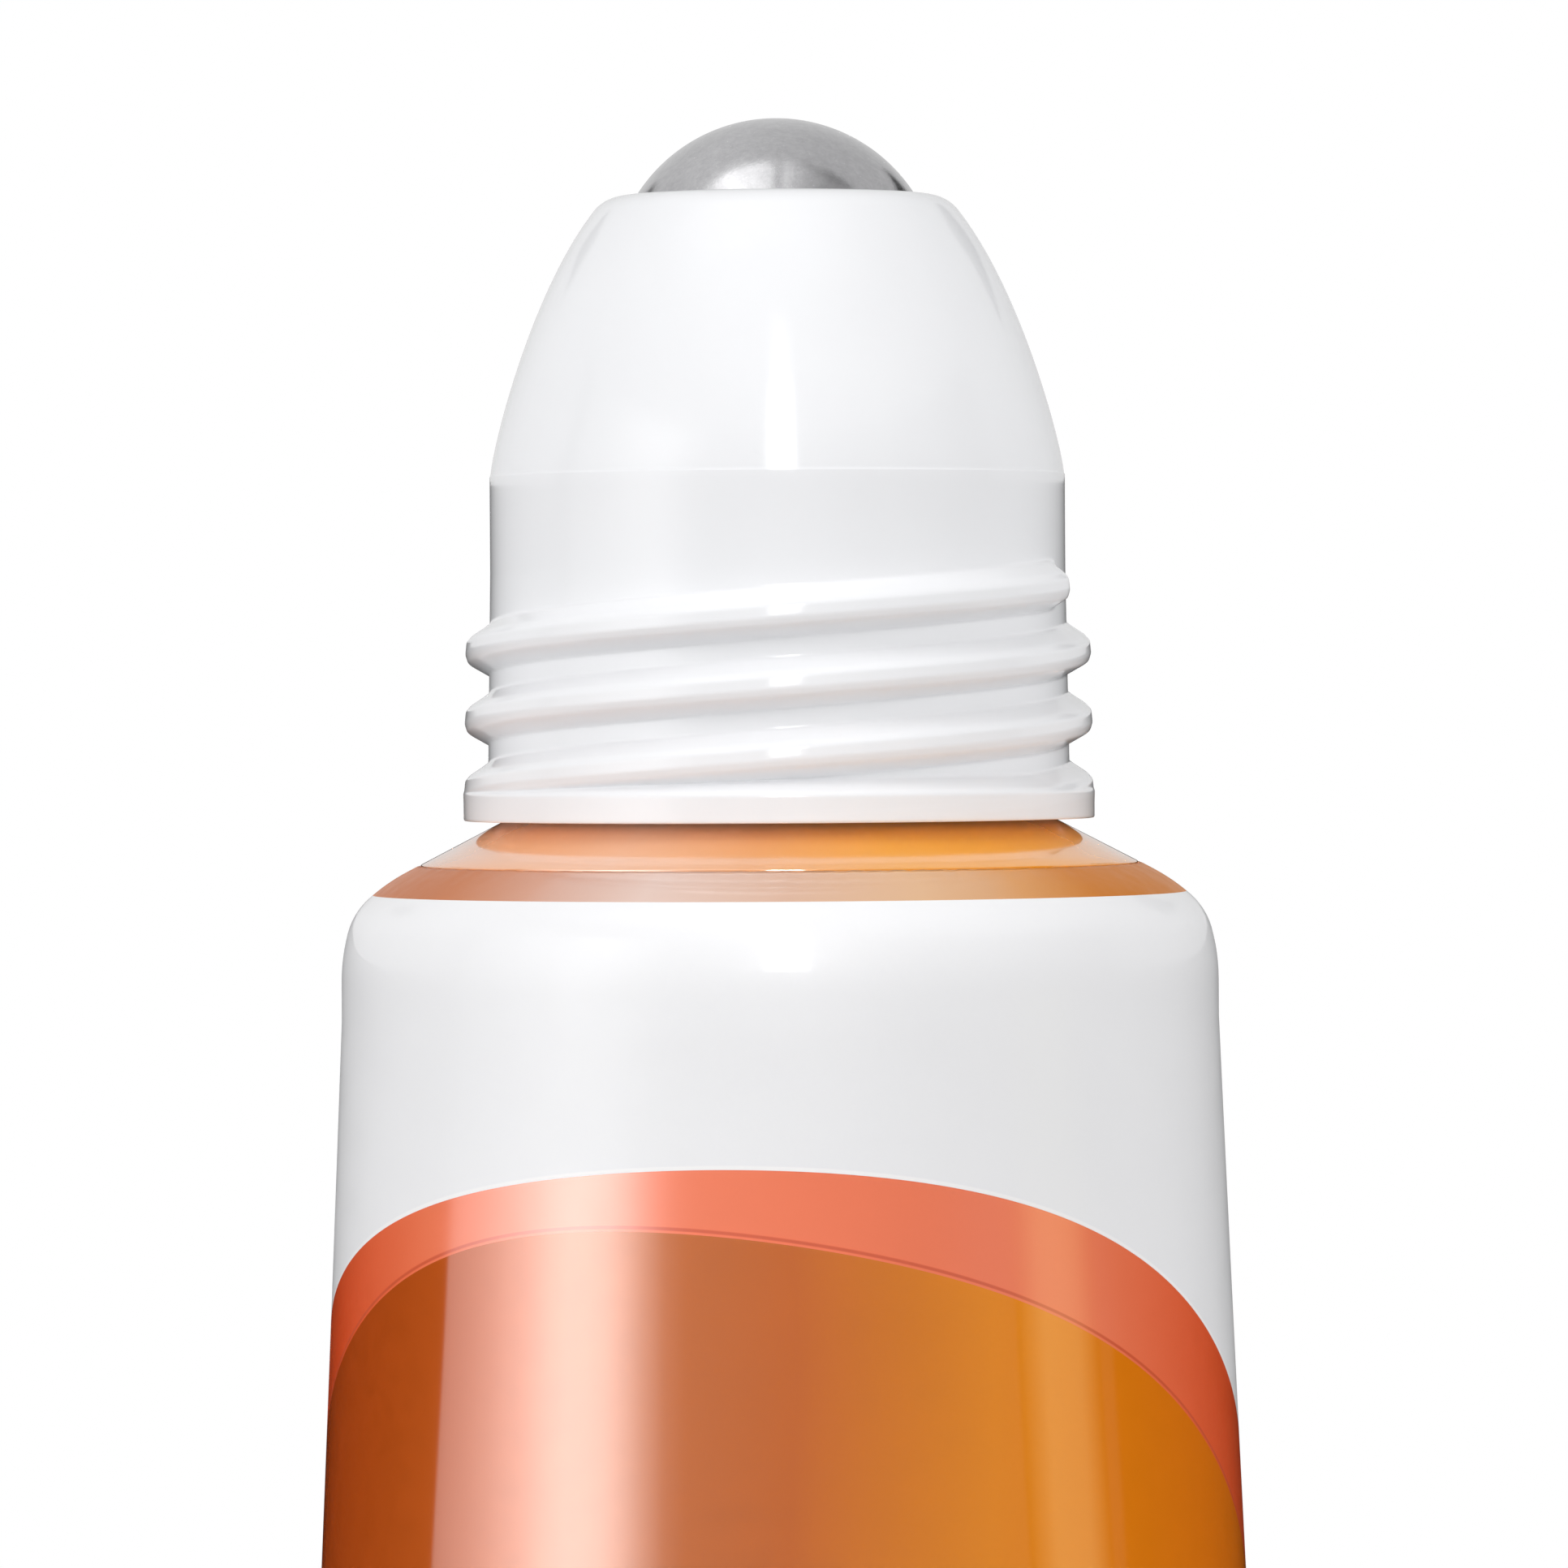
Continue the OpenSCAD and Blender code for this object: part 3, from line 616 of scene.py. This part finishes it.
class Finish:
    """One material with a main shader, and short calls that add a pattern and return its output. The
    coat is a weight, a roughness and an index of refraction."""

    def __init__(self, name, roughness, metallic=0.0, specular=0.5, ior=1.5, coat=(0.0, 0.03, 1.5)):
        self.material = bpy.data.materials.new(name)
        self.material.use_nodes = True
        self.tree = self.material.node_tree
        self.shader = self.tree.nodes["Principled BSDF"]
        sockets = ("Roughness", "Metallic", "Specular IOR Level", "IOR", "Coat Weight", "Coat Roughness", "Coat IOR")
        for socket, value in zip(sockets, (roughness, metallic, specular, ior, *coat)):
            self.set(socket, value)
        self.own_place = self.add("ShaderNodeTexCoord").outputs["Object"]
        self.millimetres = self.stretched(1, 1, 1)

    def add(self, kind, inputs=None):
        """A node in this material."""
        return add_node(self.tree, kind, inputs)

    def set(self, socket, value):
        """Gives the main shader a value, a colour or a pattern."""
        feed(self.tree, self.shader.inputs[socket], value)

    def stretched(self, x, y, z):
        """The place on the piece in millimetres, times a factor for each axis."""
        scale = [1000 * factor for factor in (x, y, z)]
        return self.add("ShaderNodeMapping", {"Vector": self.own_place, "Scale": scale}).outputs["Vector"]

    def noise(self, scale, detail=3.0, rough=0.55, where=None):
        """A noise with so many waves in a millimetre, and finer ones over them."""
        inputs = {"Vector": where or self.millimetres, "Scale": scale, "Detail": detail, "Roughness": rough}
        return self.add("ShaderNodeTexNoise", inputs).outputs["Fac"]

    def attribute(self, name):
        """The number that is stored with each point."""
        node = self.add("ShaderNodeAttribute")
        node.attribute_name = name
        return node.outputs["Fac"]

    def remap(self, source, low, high, to_low, to_high):
        """A straight line from one range to another, cut off at its ends."""
        inputs = {"Value": source, "From Min": low, "From Max": high, "To Min": to_low, "To Max": to_high}
        return self.add("ShaderNodeMapRange", inputs).outputs["Result"]

    def maths(self, operation, a, b):
        """The named operation on two values."""
        node = self.add("ShaderNodeMath", {0: a, 1: b})
        node.operation = operation
        return node.outputs["Value"]

    def ramp(self, source, *stops):
        """Colours at places between 0 and 1, joined by straight lines."""
        node = self.add("ShaderNodeValToRGB", {"Fac": source})
        while len(node.color_ramp.elements) < len(stops):
            node.color_ramp.elements.new(0.5)
        for element, (place, colour) in zip(node.color_ramp.elements, stops):
            element.position, element.color = place, (*colour, 1)
        return node.outputs["Color"]

    def tones(self, dark, light, *noise):
        """A colour that drifts between two tones with a noise."""
        return self.ramp(self.noise(*noise), (0.3, dark), (0.7, light))

    def mix(self, factor, first, second):
        """The first colour at factor 0 and the second at 1."""
        node = self.add("ShaderNodeMix")
        node.data_type = "RGBA"
        feed(self.tree, node.inputs["Factor"], factor)
        for socket, value in zip([s for s in node.inputs if s.type == "RGBA"], (first, second)):
            feed(self.tree, socket, value)
        return [s for s in node.outputs if s.type == "RGBA"][0]

    def painted_light_place(self):
        """The place from left to right, made a little uneven. The colours read from it are painted light: a
        rose painted reflection left of the front, gold painted light on the right and painted shade at the
        sides. On the real tube that comes partly from the studio; here it is painted into the colour."""
        return self.maths("ADD", self.attribute("around"), self.remap(self.noise(0.1, 0.0), 0.3, 0.7, -0.02, 0.02))

    def colour(self, source):
        """What the base scatters back."""
        self.set("Base Color", source)

    def gloss(self, smooth, rough, *noise):
        """A roughness that drifts between two values with a noise."""
        self.set("Roughness", self.remap(self.noise(*noise), 0.3, 0.7, smooth, rough))

    def relief(self, height, depth_mm, coat=False):
        """A bump whose full height is the given depth, on the base and, if asked, on the coat too."""
        bump = self.add("ShaderNodeBump", {"Strength": 1.0, "Distance": depth_mm * MM, "Height": height})
        for socket in ("Normal", "Coat Normal") if coat else ("Normal",):
            self.set(socket, bump.outputs["Normal"])


def wear(piece, *finishes):
    """Puts the finishes on a piece, in the order of its zones."""
    for place, finish in enumerate(finishes):
        if place < len(piece.data.materials):
            piece.data.materials[place] = finish.material
        else:
            piece.data.materials.append(finish.material)
    print(f"{piece.name} wears {', '.join(finish.material.name for finish in finishes)}")


# %% [markdown]
# ## White moulded plastic
# The housing is a bright white polymer with a soft gloss. Subsurface light could make it glow, but
# at this size it only blurs the thread, so a pale colour lies under a thin coat. Turned tools leave
# fine rings on the dome, which break up its narrow line of light, and the surface has a faint
# orange-peel. Both go into the relief.

# %% Finish of the housing
housing_white = Finish("housing_white", 0.12, specular=0.16, coat=(0.4, 0.08, 1.2))
housing_white.colour(housing_white.tones((0.862, 0.867, 0.885), (0.880, 0.885, 0.902), 0.25, 2.0))
housing_white.gloss(0.09, 0.15, 0.9, 4.0)
rings = housing_white.noise(1.0, 3.0, 0.6, housing_white.stretched(0.12, 0.12, 14))
peel = housing_white.noise(2.2, 2.0)
housing_white.relief(housing_white.maths("ADD", rings, housing_white.maths("MULTIPLY", peel, 0.8)), 0.0011)
wear(housing_shell, housing_white)

# %% [markdown]
# ## Print on foil
# The lower sleeve shows copper-orange lacquer on a metal foil: partly a mirror, partly a pigment,
# under a clear glossy coat. A full metal would go black between the lamps, so only a quarter of it
# is metal. The coral stripe is opaque ink under the same coat, and the white is a thicker ink with a
# thin coat. Ink piles up along its edge, so a fine line follows each border, placed by the stored
# height above it. The rim's foil is seen at a grazing angle and gets less coat towards the sides.

# %% Copper, coral and white
def edge_line(finish, name, width, offset=0.0):
    """1 on a fine line at an offset from a border of the print, and 0 elsewhere."""
    away = finish.maths("ABSOLUTE", finish.maths("SUBTRACT", finish.attribute(name), offset), 0)
    return finish.remap(away, width * 0.4, width, 1, 0)


copper = Finish("sleeve_copper", 0.42, metallic=0.25, specular=0.15, coat=(1.0, 0.07, 2.0))
# Painted light: the copper runs from dark brown on the left to bright orange right of the front, a painted warm light
# on that side.
copper.colour(copper.ramp(copper.painted_light_place(), (0.0, (0.56, 0.075, 0.0015)), (0.3, (0.52, 0.122, 0.014)),
                          (0.5, (0.60, 0.132, 0.011)), (0.72, (0.95, 0.29, 0.006)), (1.0, (0.97, 0.215, 0.001))))
copper.gloss(0.38, 0.48, 2.0, 4.0)
copper.relief(copper.noise(9.0), 0.0015)

coral = Finish("sleeve_coral", 0.42, coat=(1.0, 0.16, 2.0))
# Painted shade: the coral ink turns darker and redder towards both sides.
coral_ink_and_side_shade = coral.ramp(coral.painted_light_place(), (0.0, (0.86, 0.085, 0.008)), (0.1, (0.94, 0.20, 0.085)),
                       (0.86, (0.95, 0.20, 0.085)), (1.0, (0.88, 0.09, 0.010)))
coral.colour(coral.mix(edge_line(coral, "above_copper", 0.05, 0.09), coral_ink_and_side_shade, (0.72, 0.10, 0.035)))
coral.gloss(0.38, 0.48, 2.0, 4.0)
coral.relief(coral.noise(9.0), 0.0015)

white_ink = Finish("sleeve_white", 0.4, specular=0.35, coat=(0.5, 0.05, 1.3))
white_base = white_ink.tones((0.872, 0.872, 0.886), (0.890, 0.890, 0.903), 0.2, 2.0)
white_ink.colour(white_ink.mix(edge_line(white_ink, "above_coral", 0.05, 0.05), white_base, (0.95, 0.94, 0.94)))
white_ink.gloss(0.4, 0.5, 1.2, 4.0)
white_ink.relief(white_ink.noise(6.0, 2.0), 0.001)

# %% Rim and liner
rim_foil = Finish("sleeve_rim", 0.4, specular=0.15, coat=(1.0, 0.07, 2.8))
# Painted light: the rim's foil is darker towards both sides as painted shade, with a pale rose painted reflection left
# of the front and warmer orange on the right.
rim_foil.colour(rim_foil.ramp(rim_foil.painted_light_place(), (0.08, (0.51, 0.167, 0.06)), (0.19, (0.60, 0.235, 0.115)),
                              (0.33, (0.75, 0.51, 0.42)), (0.5, (0.68, 0.38, 0.235)), (0.66, (0.75, 0.40, 0.165)),
                              (0.78, (0.68, 0.26, 0.02)), (0.87, (0.57, 0.18, 0.01))))
from_front = rim_foil.maths("ABSOLUTE", rim_foil.maths("SUBTRACT", rim_foil.painted_light_place(), 0.48), 0)
rim_foil.set("Coat Weight", rim_foil.remap(from_front, 0.26, 0.38, 1.0, 0.1))
rim_foil.gloss(0.36, 0.46, 2.0, 4.0)
rim_foil.relief(rim_foil.noise(7.0), 0.002, coat=True)

liner = Finish("sleeve_liner", 0.4)
liner.colour(liner.tones((0.70, 0.70, 0.69), (0.76, 0.76, 0.75), 0.8))
liner.relief(liner.noise(4.0), 0.002)
wear(printed_sleeve, copper, coral, white_ink, liner, rim_foil)

# %% [markdown]
# ## Glossy orange moulding
# The shoulder is a through-coloured plastic from a polished tool, so it mirrors the white collar
# above it. A mirror map could hold that reflection, but a smooth coat finds it by itself. It gets
# almost no grain: only a few long soft waves in the relief that bend the reflections slightly.

# %% Finish of the shoulder
orange = Finish("head_orange", 0.18, coat=(1.0, 0.04, 2.3))
# Painted light: a pale rose painted reflection on the left of the front and a brighter gold on the right.
orange.colour(orange.ramp(orange.painted_light_place(), (0.1, (0.90, 0.40, 0.17)), (0.25, (0.86, 0.45, 0.26)),
                          (0.45, (0.80, 0.345, 0.115)), (0.65, (0.88, 0.365, 0.033)),
                          (0.8, (0.93, 0.365, 0.015)), (1.0, (0.99, 0.37, 0.02))))
orange.gloss(0.15, 0.24, 1.5)
orange.relief(orange.noise(1.6, 2.0), 0.002, coat=True)
wear(shoulder_and_neck, orange)

# %% [markdown]
# ## Steel
# The ball is ground and polished, but rolling leaves it with a haze of tiny scratches that blur
# what it mirrors. Scratches in the mesh would be far too fine, so the haze is in the colour, the
# roughness and a very shallow relief. The spring is plain drawn wire, and duller.

# %% Finishes of the ball and spring
steel = Finish("ball_polished", 0.14, metallic=1.0)
steel.colour(steel.tones((0.53, 0.527, 0.54), (0.645, 0.642, 0.655), 5.0, 7.0, 0.8))
steel.gloss(0.11, 0.2, 3.0, 5.0)
steel.relief(steel.noise(16.0, 4.0, 0.7), 0.0018)
wear(steel_ball, steel)

wire = Finish("spring_wire", 0.3, metallic=1.0)
wire.colour(wire.tones((0.50, 0.50, 0.52), (0.62, 0.62, 0.63), 3.0))
wire.relief(wire.noise(12.0), 0.002)
wear(coil_spring, wire)

# %% [markdown]
# ## The pieces inside
# The cup, the ball's seat and the rubber washer are right as CAD solids, so they stay and only get
# a finish: natural moulded plastic with a slight drift, a slicker white for the seat that the ball
# runs on, and a dark rubber with a fine, dull grain.

# %% Finishes of the inner pieces
natural = Finish("cup_natural", 0.45)
natural.colour(natural.tones((0.68, 0.67, 0.61), (0.75, 0.74, 0.69), 0.6))
natural.relief(natural.noise(5.0), 0.002)
slick = Finish("seat_slick", 0.35, ior=1.4)
slick.colour(slick.tones((0.72, 0.72, 0.72), (0.80, 0.80, 0.80), 1.0))
slick.relief(slick.noise(8.0, 2.0), 0.001)
rubber = Finish("seal_rubber_black", 0.75)
rubber.colour(rubber.tones((0.010, 0.010, 0.012), (0.022, 0.022, 0.024), 2.0, 4.0))
rubber.relief(rubber.noise(10.0, 4.0), 0.004)
for node, finish in (("ball_cup", natural), ("ball_seat", slick), ("neck_seal", rubber)):
    wear(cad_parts[node], finish)

# %% [markdown]
# ## The studio
# The photograph is a product shot on pure white, with big soft lamps from both sides and above. One
# bright world could stand for all of it, but then nothing would shape the gloss. So three lamps and
# a dim world light the tube, and bent cards that only reflections see draw what the gloss shows.

# %% World
def light_path_mix(tree):
    """1 for rays from the camera and for those that mirrors and glass send on, 0 for the light that
    falls on the object."""
    path = add_node(tree, "ShaderNodeLightPath").outputs
    seen = path["Is Camera Ray"]
    for name in ("Is Glossy Ray", "Is Transmission Ray"):
        both = add_node(tree, "ShaderNodeMath", {0: seen, 1: path[name]})
        both.operation = "MAXIMUM"
        seen = both.outputs["Value"]
    return seen


air_light, air_seen = 0.12, 1.0
world = bpy.data.worlds.new("studio_air")
bpy.context.scene.world = world
world.use_nodes = True
air = world.node_tree
level = add_node(air, "ShaderNodeMapRange", {"Value": light_path_mix(air), "To Min": air_light, "To Max": air_seen})
feed(air, air.nodes["Background"].inputs["Color"], (1, 1, 1))
feed(air, air.nodes["Background"].inputs["Strength"], level.outputs["Result"])
print(f"the air lights with {air_light} and looks like {air_seen}")

# %% [markdown]
# The floor has to keep the object's shadow, and yet end without a horizon. It is a round sheet of
# plain pale paint that passes into pure white far from the tube, for the camera and mirrors only.

# %% Floor
def disc(name, reach, rows, columns):
    """A flat round sheet: rings of growing radius round a middle point."""
    r = np.linspace(0, reach, rows + 1)[1:]
    grid = turned(np.stack([r, 0 * r], axis=-1), columns).reshape(-1, 3)
    faces = grid_faces(rows, columns)[:, ::-1].tolist() + fan_faces(np.arange(columns), len(grid)).tolist()
    mesh = bpy.data.meshes.new(name)
    mesh.from_pydata([*grid.tolist(), [0, 0, 0]], [], faces)
    return in_scene(name, mesh)


floor = disc("studio_floor", 0.9, 24, 96)
fade_start, fade_end = 0.10, 0.55
paint = Finish("floor_paint", 0.9, specular=0.1)
paint.colour((0.52, 0.52, 0.52))
distance = paint.add("ShaderNodeVectorMath", {0: paint.own_place})
distance.operation = "LENGTH"
far = paint.add("ShaderNodeMapRange", {"Value": distance.outputs["Value"], "From Min": fade_start, "From Max": fade_end})
far.interpolation_type = "SMOOTHSTEP"
share = paint.maths("MULTIPLY", light_path_mix(paint.tree), far.outputs["Result"])
white = paint.add("ShaderNodeEmission").outputs["Emission"]
blend = paint.add("ShaderNodeMixShader", {0: share, 1: paint.shader.outputs["BSDF"], 2: white})
feed(paint.tree, paint.tree.nodes["Material Output"].inputs["Surface"], blend.outputs["Shader"])
wear(floor, paint)
print(f"the floor passes into white between {fade_start} and {fade_end} m")

# %% [markdown]
# Each lamp could be given its watts, but they say little once it is moved. So it is told how bright
# it makes a white card: with the air, one that faces the camera comes to about 1.1.

# %% Lamps
target = np.array([0, 0, 0.098])


def soft_lamp(name, azimuth, elevation, light, size, distance=0.9):
    """An area lamp turned to the object, at an azimuth of 0 towards the camera and 90 to its right. A
    lamp of power P at distance d lights a white card to P / (pi^2 d^2), so P follows from the light."""
    lamp = bpy.data.lights.new(name, "AREA")
    lamp.shape, lamp.size, lamp.size_y = "RECTANGLE", size[0], size[1]
    lamp.energy = light * np.pi ** 2 * distance ** 2
    holder = in_scene(name, lamp)
    a, e = rad(azimuth), rad(elevation)
    away = np.array([np.sin(a) * np.cos(e), -np.cos(a) * np.cos(e), np.sin(e)])
    holder.location = target + away * distance
    holder.rotation_mode = "QUATERNION"
    holder.rotation_quaternion = Vector(-away).to_track_quat("-Z", "Y")
    holder.visible_camera = holder.visible_glossy = False
    print(f"{name}: {lamp.energy:.2f} W")


soft_lamp("left_softbox", -58, 12, 0.86, (0.5, 0.9))
soft_lamp("right_softbox", 58, 12, 0.77, (0.5, 0.9))
soft_lamp("top_softbox", -3, 72, 0.44, (0.9, 0.7))

# %% [markdown]
# The cards are bent sheets round the object. A card's brightness is stored with its points, from
# levels over the azimuth, so one sheet holds a sharp edge and the soft fall beside it. The strip
# draws the bright stripe in the lacquer, a gold card the warm line on the right, and black flags
# behind darken the silhouette. Higher up stand pale walls with two dark spots that the ball shows,
# and the narrow window whose light runs down the dome.

# %% Cards that only reflections see
def sheet_faces(rows, columns):
    """Faces of an open grid, sorted by row and column."""
    i, j = np.meshgrid(np.arange(rows - 1), np.arange(columns - 1), indexing="ij")
    first, above = i * columns + j, (i + 1) * columns + j
    return np.stack([first, first + 1, above + 1, above], axis=-1)


def show_only_in_reflections(name, points, faces, glow, tint=(1, 1, 1)):
    """Makes a glowing sheet that lights nothing, casts no shadow and that no camera sees."""
    mesh = bpy.data.meshes.new(name)
    mesh.from_pydata(points.reshape(-1, 3).tolist(), [], faces.reshape(-1, 4).tolist())
    card = in_scene(name, mesh)
    point_values(card, "glow", glow)
    paint = bpy.data.materials.new(name + "_paint")
    paint.use_nodes = True
    tree = paint.node_tree
    tree.nodes.remove(tree.nodes["Principled BSDF"])
    stored = add_node(tree, "ShaderNodeAttribute")
    stored.attribute_name = "glow"
    light = add_node(tree, "ShaderNodeEmission", {"Color": tint, "Strength": stored.outputs["Fac"]})
    feed(tree, tree.nodes["Material Output"].inputs["Surface"], light.outputs["Emission"])
    paint.cycles.emission_sampling = "NONE"
    mesh.materials.append(paint)
    card.visible_camera = card.visible_diffuse = card.visible_shadow = False
    card.visible_transmission = card.visible_volume_scatter = False
    print(f"{name} glows up to {glow.max():.2f}")


def reflection_card(name, levels, low, high, reach=0.3, narrowing=((0, 1), (1, 1)), over_height=((0, 1), (1, 1)),
                    tint=(1, 1, 1)):
    """A sheet of a cylinder round Z. The levels are pairs of azimuth and brightness, joined by straight
    lines. The narrowing scales the azimuth over the height, and over_height the brightness."""
    spans = [np.linspace(left, right, max(2, int((right[0] - left[0]) / 1.5) + 1))
             for left, right in zip(levels[:-1], levels[1:])]
    azimuth, glow = np.concatenate(spans).T
    height = np.linspace(low, high, 25)[:, None]
    a = rad(azimuth) * np.interp(height, *narrowing)
    points = np.stack([reach * np.sin(a), -reach * np.cos(a), height + 0 * a], axis=-1)
    faces = sheet_faces(len(height), len(azimuth))[:, np.diff(azimuth) > 1e-6]
    show_only_in_reflections(name, points, faces, np.interp(height, *over_height) * glow, tint)


strip = [(-98, 0.0), (-91, 0.0), (-90.4, 1.1), (-86, 1.35), (-80, 1.7), (-74, 2.2), (-65, 3.25), (-58, 4.4),
         (-53, 4.95), (-48, 4.85), (-43.5, 4.4), (-39, 3.35), (-34, 1.9), (-28.6, 0.75), (-23.4, 0.42),
         (0, 0.28), (30, 0.2), (60, 0.15), (87, 0.1), (88, 0.0), (98, 0.0)]
reflection_card("strip_card", strip, 0.001, 0.26, narrowing=((0.02, 0.055), (0.91, 1.0)))
reflection_card("gold_card", [(58, 0.0), (66, 1.0), (76, 0.9), (83, 0.0)], 0.001, 0.09, reach=0.28,
                tint=(1.0, 0.95, 0.45))
for name, levels, low, high, reach in (
        ("left_flag", [(-180, 0.004), (-90, 0.004)], 0.001, 0.112, 0.302),
        ("right_flag", [(90, 0.004), (180, 0.004)], 0.001, 0.112, 0.302),
        ("left_wall", [(-180, 0.72), (-98, 0.72)], 0.1121, 0.40, 0.3),
        ("right_wall", [(98, 0.6), (151, 0.62), (180, 0.72)], 0.1121, 0.40, 0.3),
        ("left_spot", [(-149, 0.02), (-138, 0.02)], 0.21, 0.25, 0.29),
        ("right_spot", [(138, 0.01), (153, 0.01)], 0.195, 0.26, 0.29)):
    reflection_card(name, levels, low, high, reach)
reflection_card("front_window", [(-4.5, 0.0), (-2.5, 24.0), (6, 24.0), (8.5, 0.0)], 0.15, 0.42, reach=0.29,
                over_height=((0.29, 0.315, 0.42), (1.0, 0.22, 0.12)))

# %% [markdown]
# The ball mirrors mostly what is above it: a plain ceiling with a window of two panes. Lamps could
# make the panes, but they would light the tube too. So the sheet over the ball is a fine grid whose
# stored glow is worked out from x and y, and the ball shows panes, bar and frame.

# %% Ceiling
def ceiling_light(x, y):
    """The plain ceiling: a little brighter on the left."""
    return np.interp(x, [-0.12, 0.12], [0.78, 0.62])


pane_places = [-0.215, -0.19, -0.166, -0.141, -0.117, -0.09, -0.02, -0.002, 0.002, 0.009, 0.013, 0.03, 0.054, 0.078,
               0.13, 0.17, 0.23]
pane_levels = [0.8, 1.1, 1.35, 1.6, 1.95, 1.75, 1.32, 1.29, 0.2, 0.2, 1.12, 1.05, 0.76, 0.65, 0.46, 0.40, 0.62]


def window_light(x, y):
    """Two panes with a thin bar between them: the levels run over x, the panes end at a back edge
    that slants on the left, and a dark frame lies along it on the right."""
    pane = np.interp(x, pane_places, pane_levels)
    back = np.interp(x, [-0.2, -0.14, -0.1, -0.05], [-0.02, -0.004, 0.0, 0.003])
    inside = np.clip((back - y) / 0.014 + 0.5, 0, 1)
    frame_depth = np.interp(x, [0.03, 0.07, 0.12, 0.19, 0.24], [0, 0.25, 0.55, 0.6, 0])
    haze = 0.16 * np.exp(-((x + 0.09) / 0.07) ** 2 - (y / 0.05) ** 2)
    beyond = ceiling_light(x, y) + haze
    return (beyond + (pane - beyond) * inside) * (1 - frame_depth * np.exp(-((y - 0.004) / 0.013) ** 2))


def roof_card(name, x_range, y_range, height, light, steps=12):
    """A flat sheet above the object, with its glow from a formula of x and y."""
    x, y = np.meshgrid(np.linspace(*x_range, steps), np.linspace(*y_range, steps), indexing="ij")
    points = np.stack([x, y, np.full_like(x, height)], axis=-1)
    show_only_in_reflections(name, points, sheet_faces(steps, steps), light(x, y))


roof_card("roof_window", (-0.22, 0.25), (-0.14, 0.03), 0.36, window_light, steps=150)
roof_card("roof_front", (-0.32, 0.32), (-0.32, 0.03), 0.40, lambda x, y: np.full_like(x, 0.52))
roof_card("roof_back", (-0.32, 0.32), (0.03, 0.32), 0.40, ceiling_light)

# %% [markdown]
# ## The camera
# The photograph is taken level with the shoulder, from a little over twenty centimetres, with a
# very long lens. Its distance could be found by trial, but it follows from the lens and from how
# many pixels of the photograph make a millimetre. The picture cuts the tube below the coral band.

# %% Camera
lens_mm, sensor_mm, picture_px, px_per_mm, rise_px, roll = 224.0, 36.0, 1932, 56.84, 126, 0.34
camera = in_scene("camera", bpy.data.cameras.new("camera"))
camera.data.lens, camera.data.sensor_width = lens_mm, sensor_mm
camera.data.clip_start, camera.data.clip_end = 0.01, 20
focal_px = lens_mm / sensor_mm * picture_px
distance_mm = focal_px / px_per_mm
camera.location = (0.1215 * MM, -distance_mm * MM, 100.07 * MM)
camera.rotation_euler = (np.pi / 2 - np.arctan(rise_px / focal_px), rad(roll), 0)
bpy.context.scene.camera = camera
bpy.context.scene.view_settings.view_transform = "Standard"
print(f"the camera stands {distance_mm:.1f} mm away")
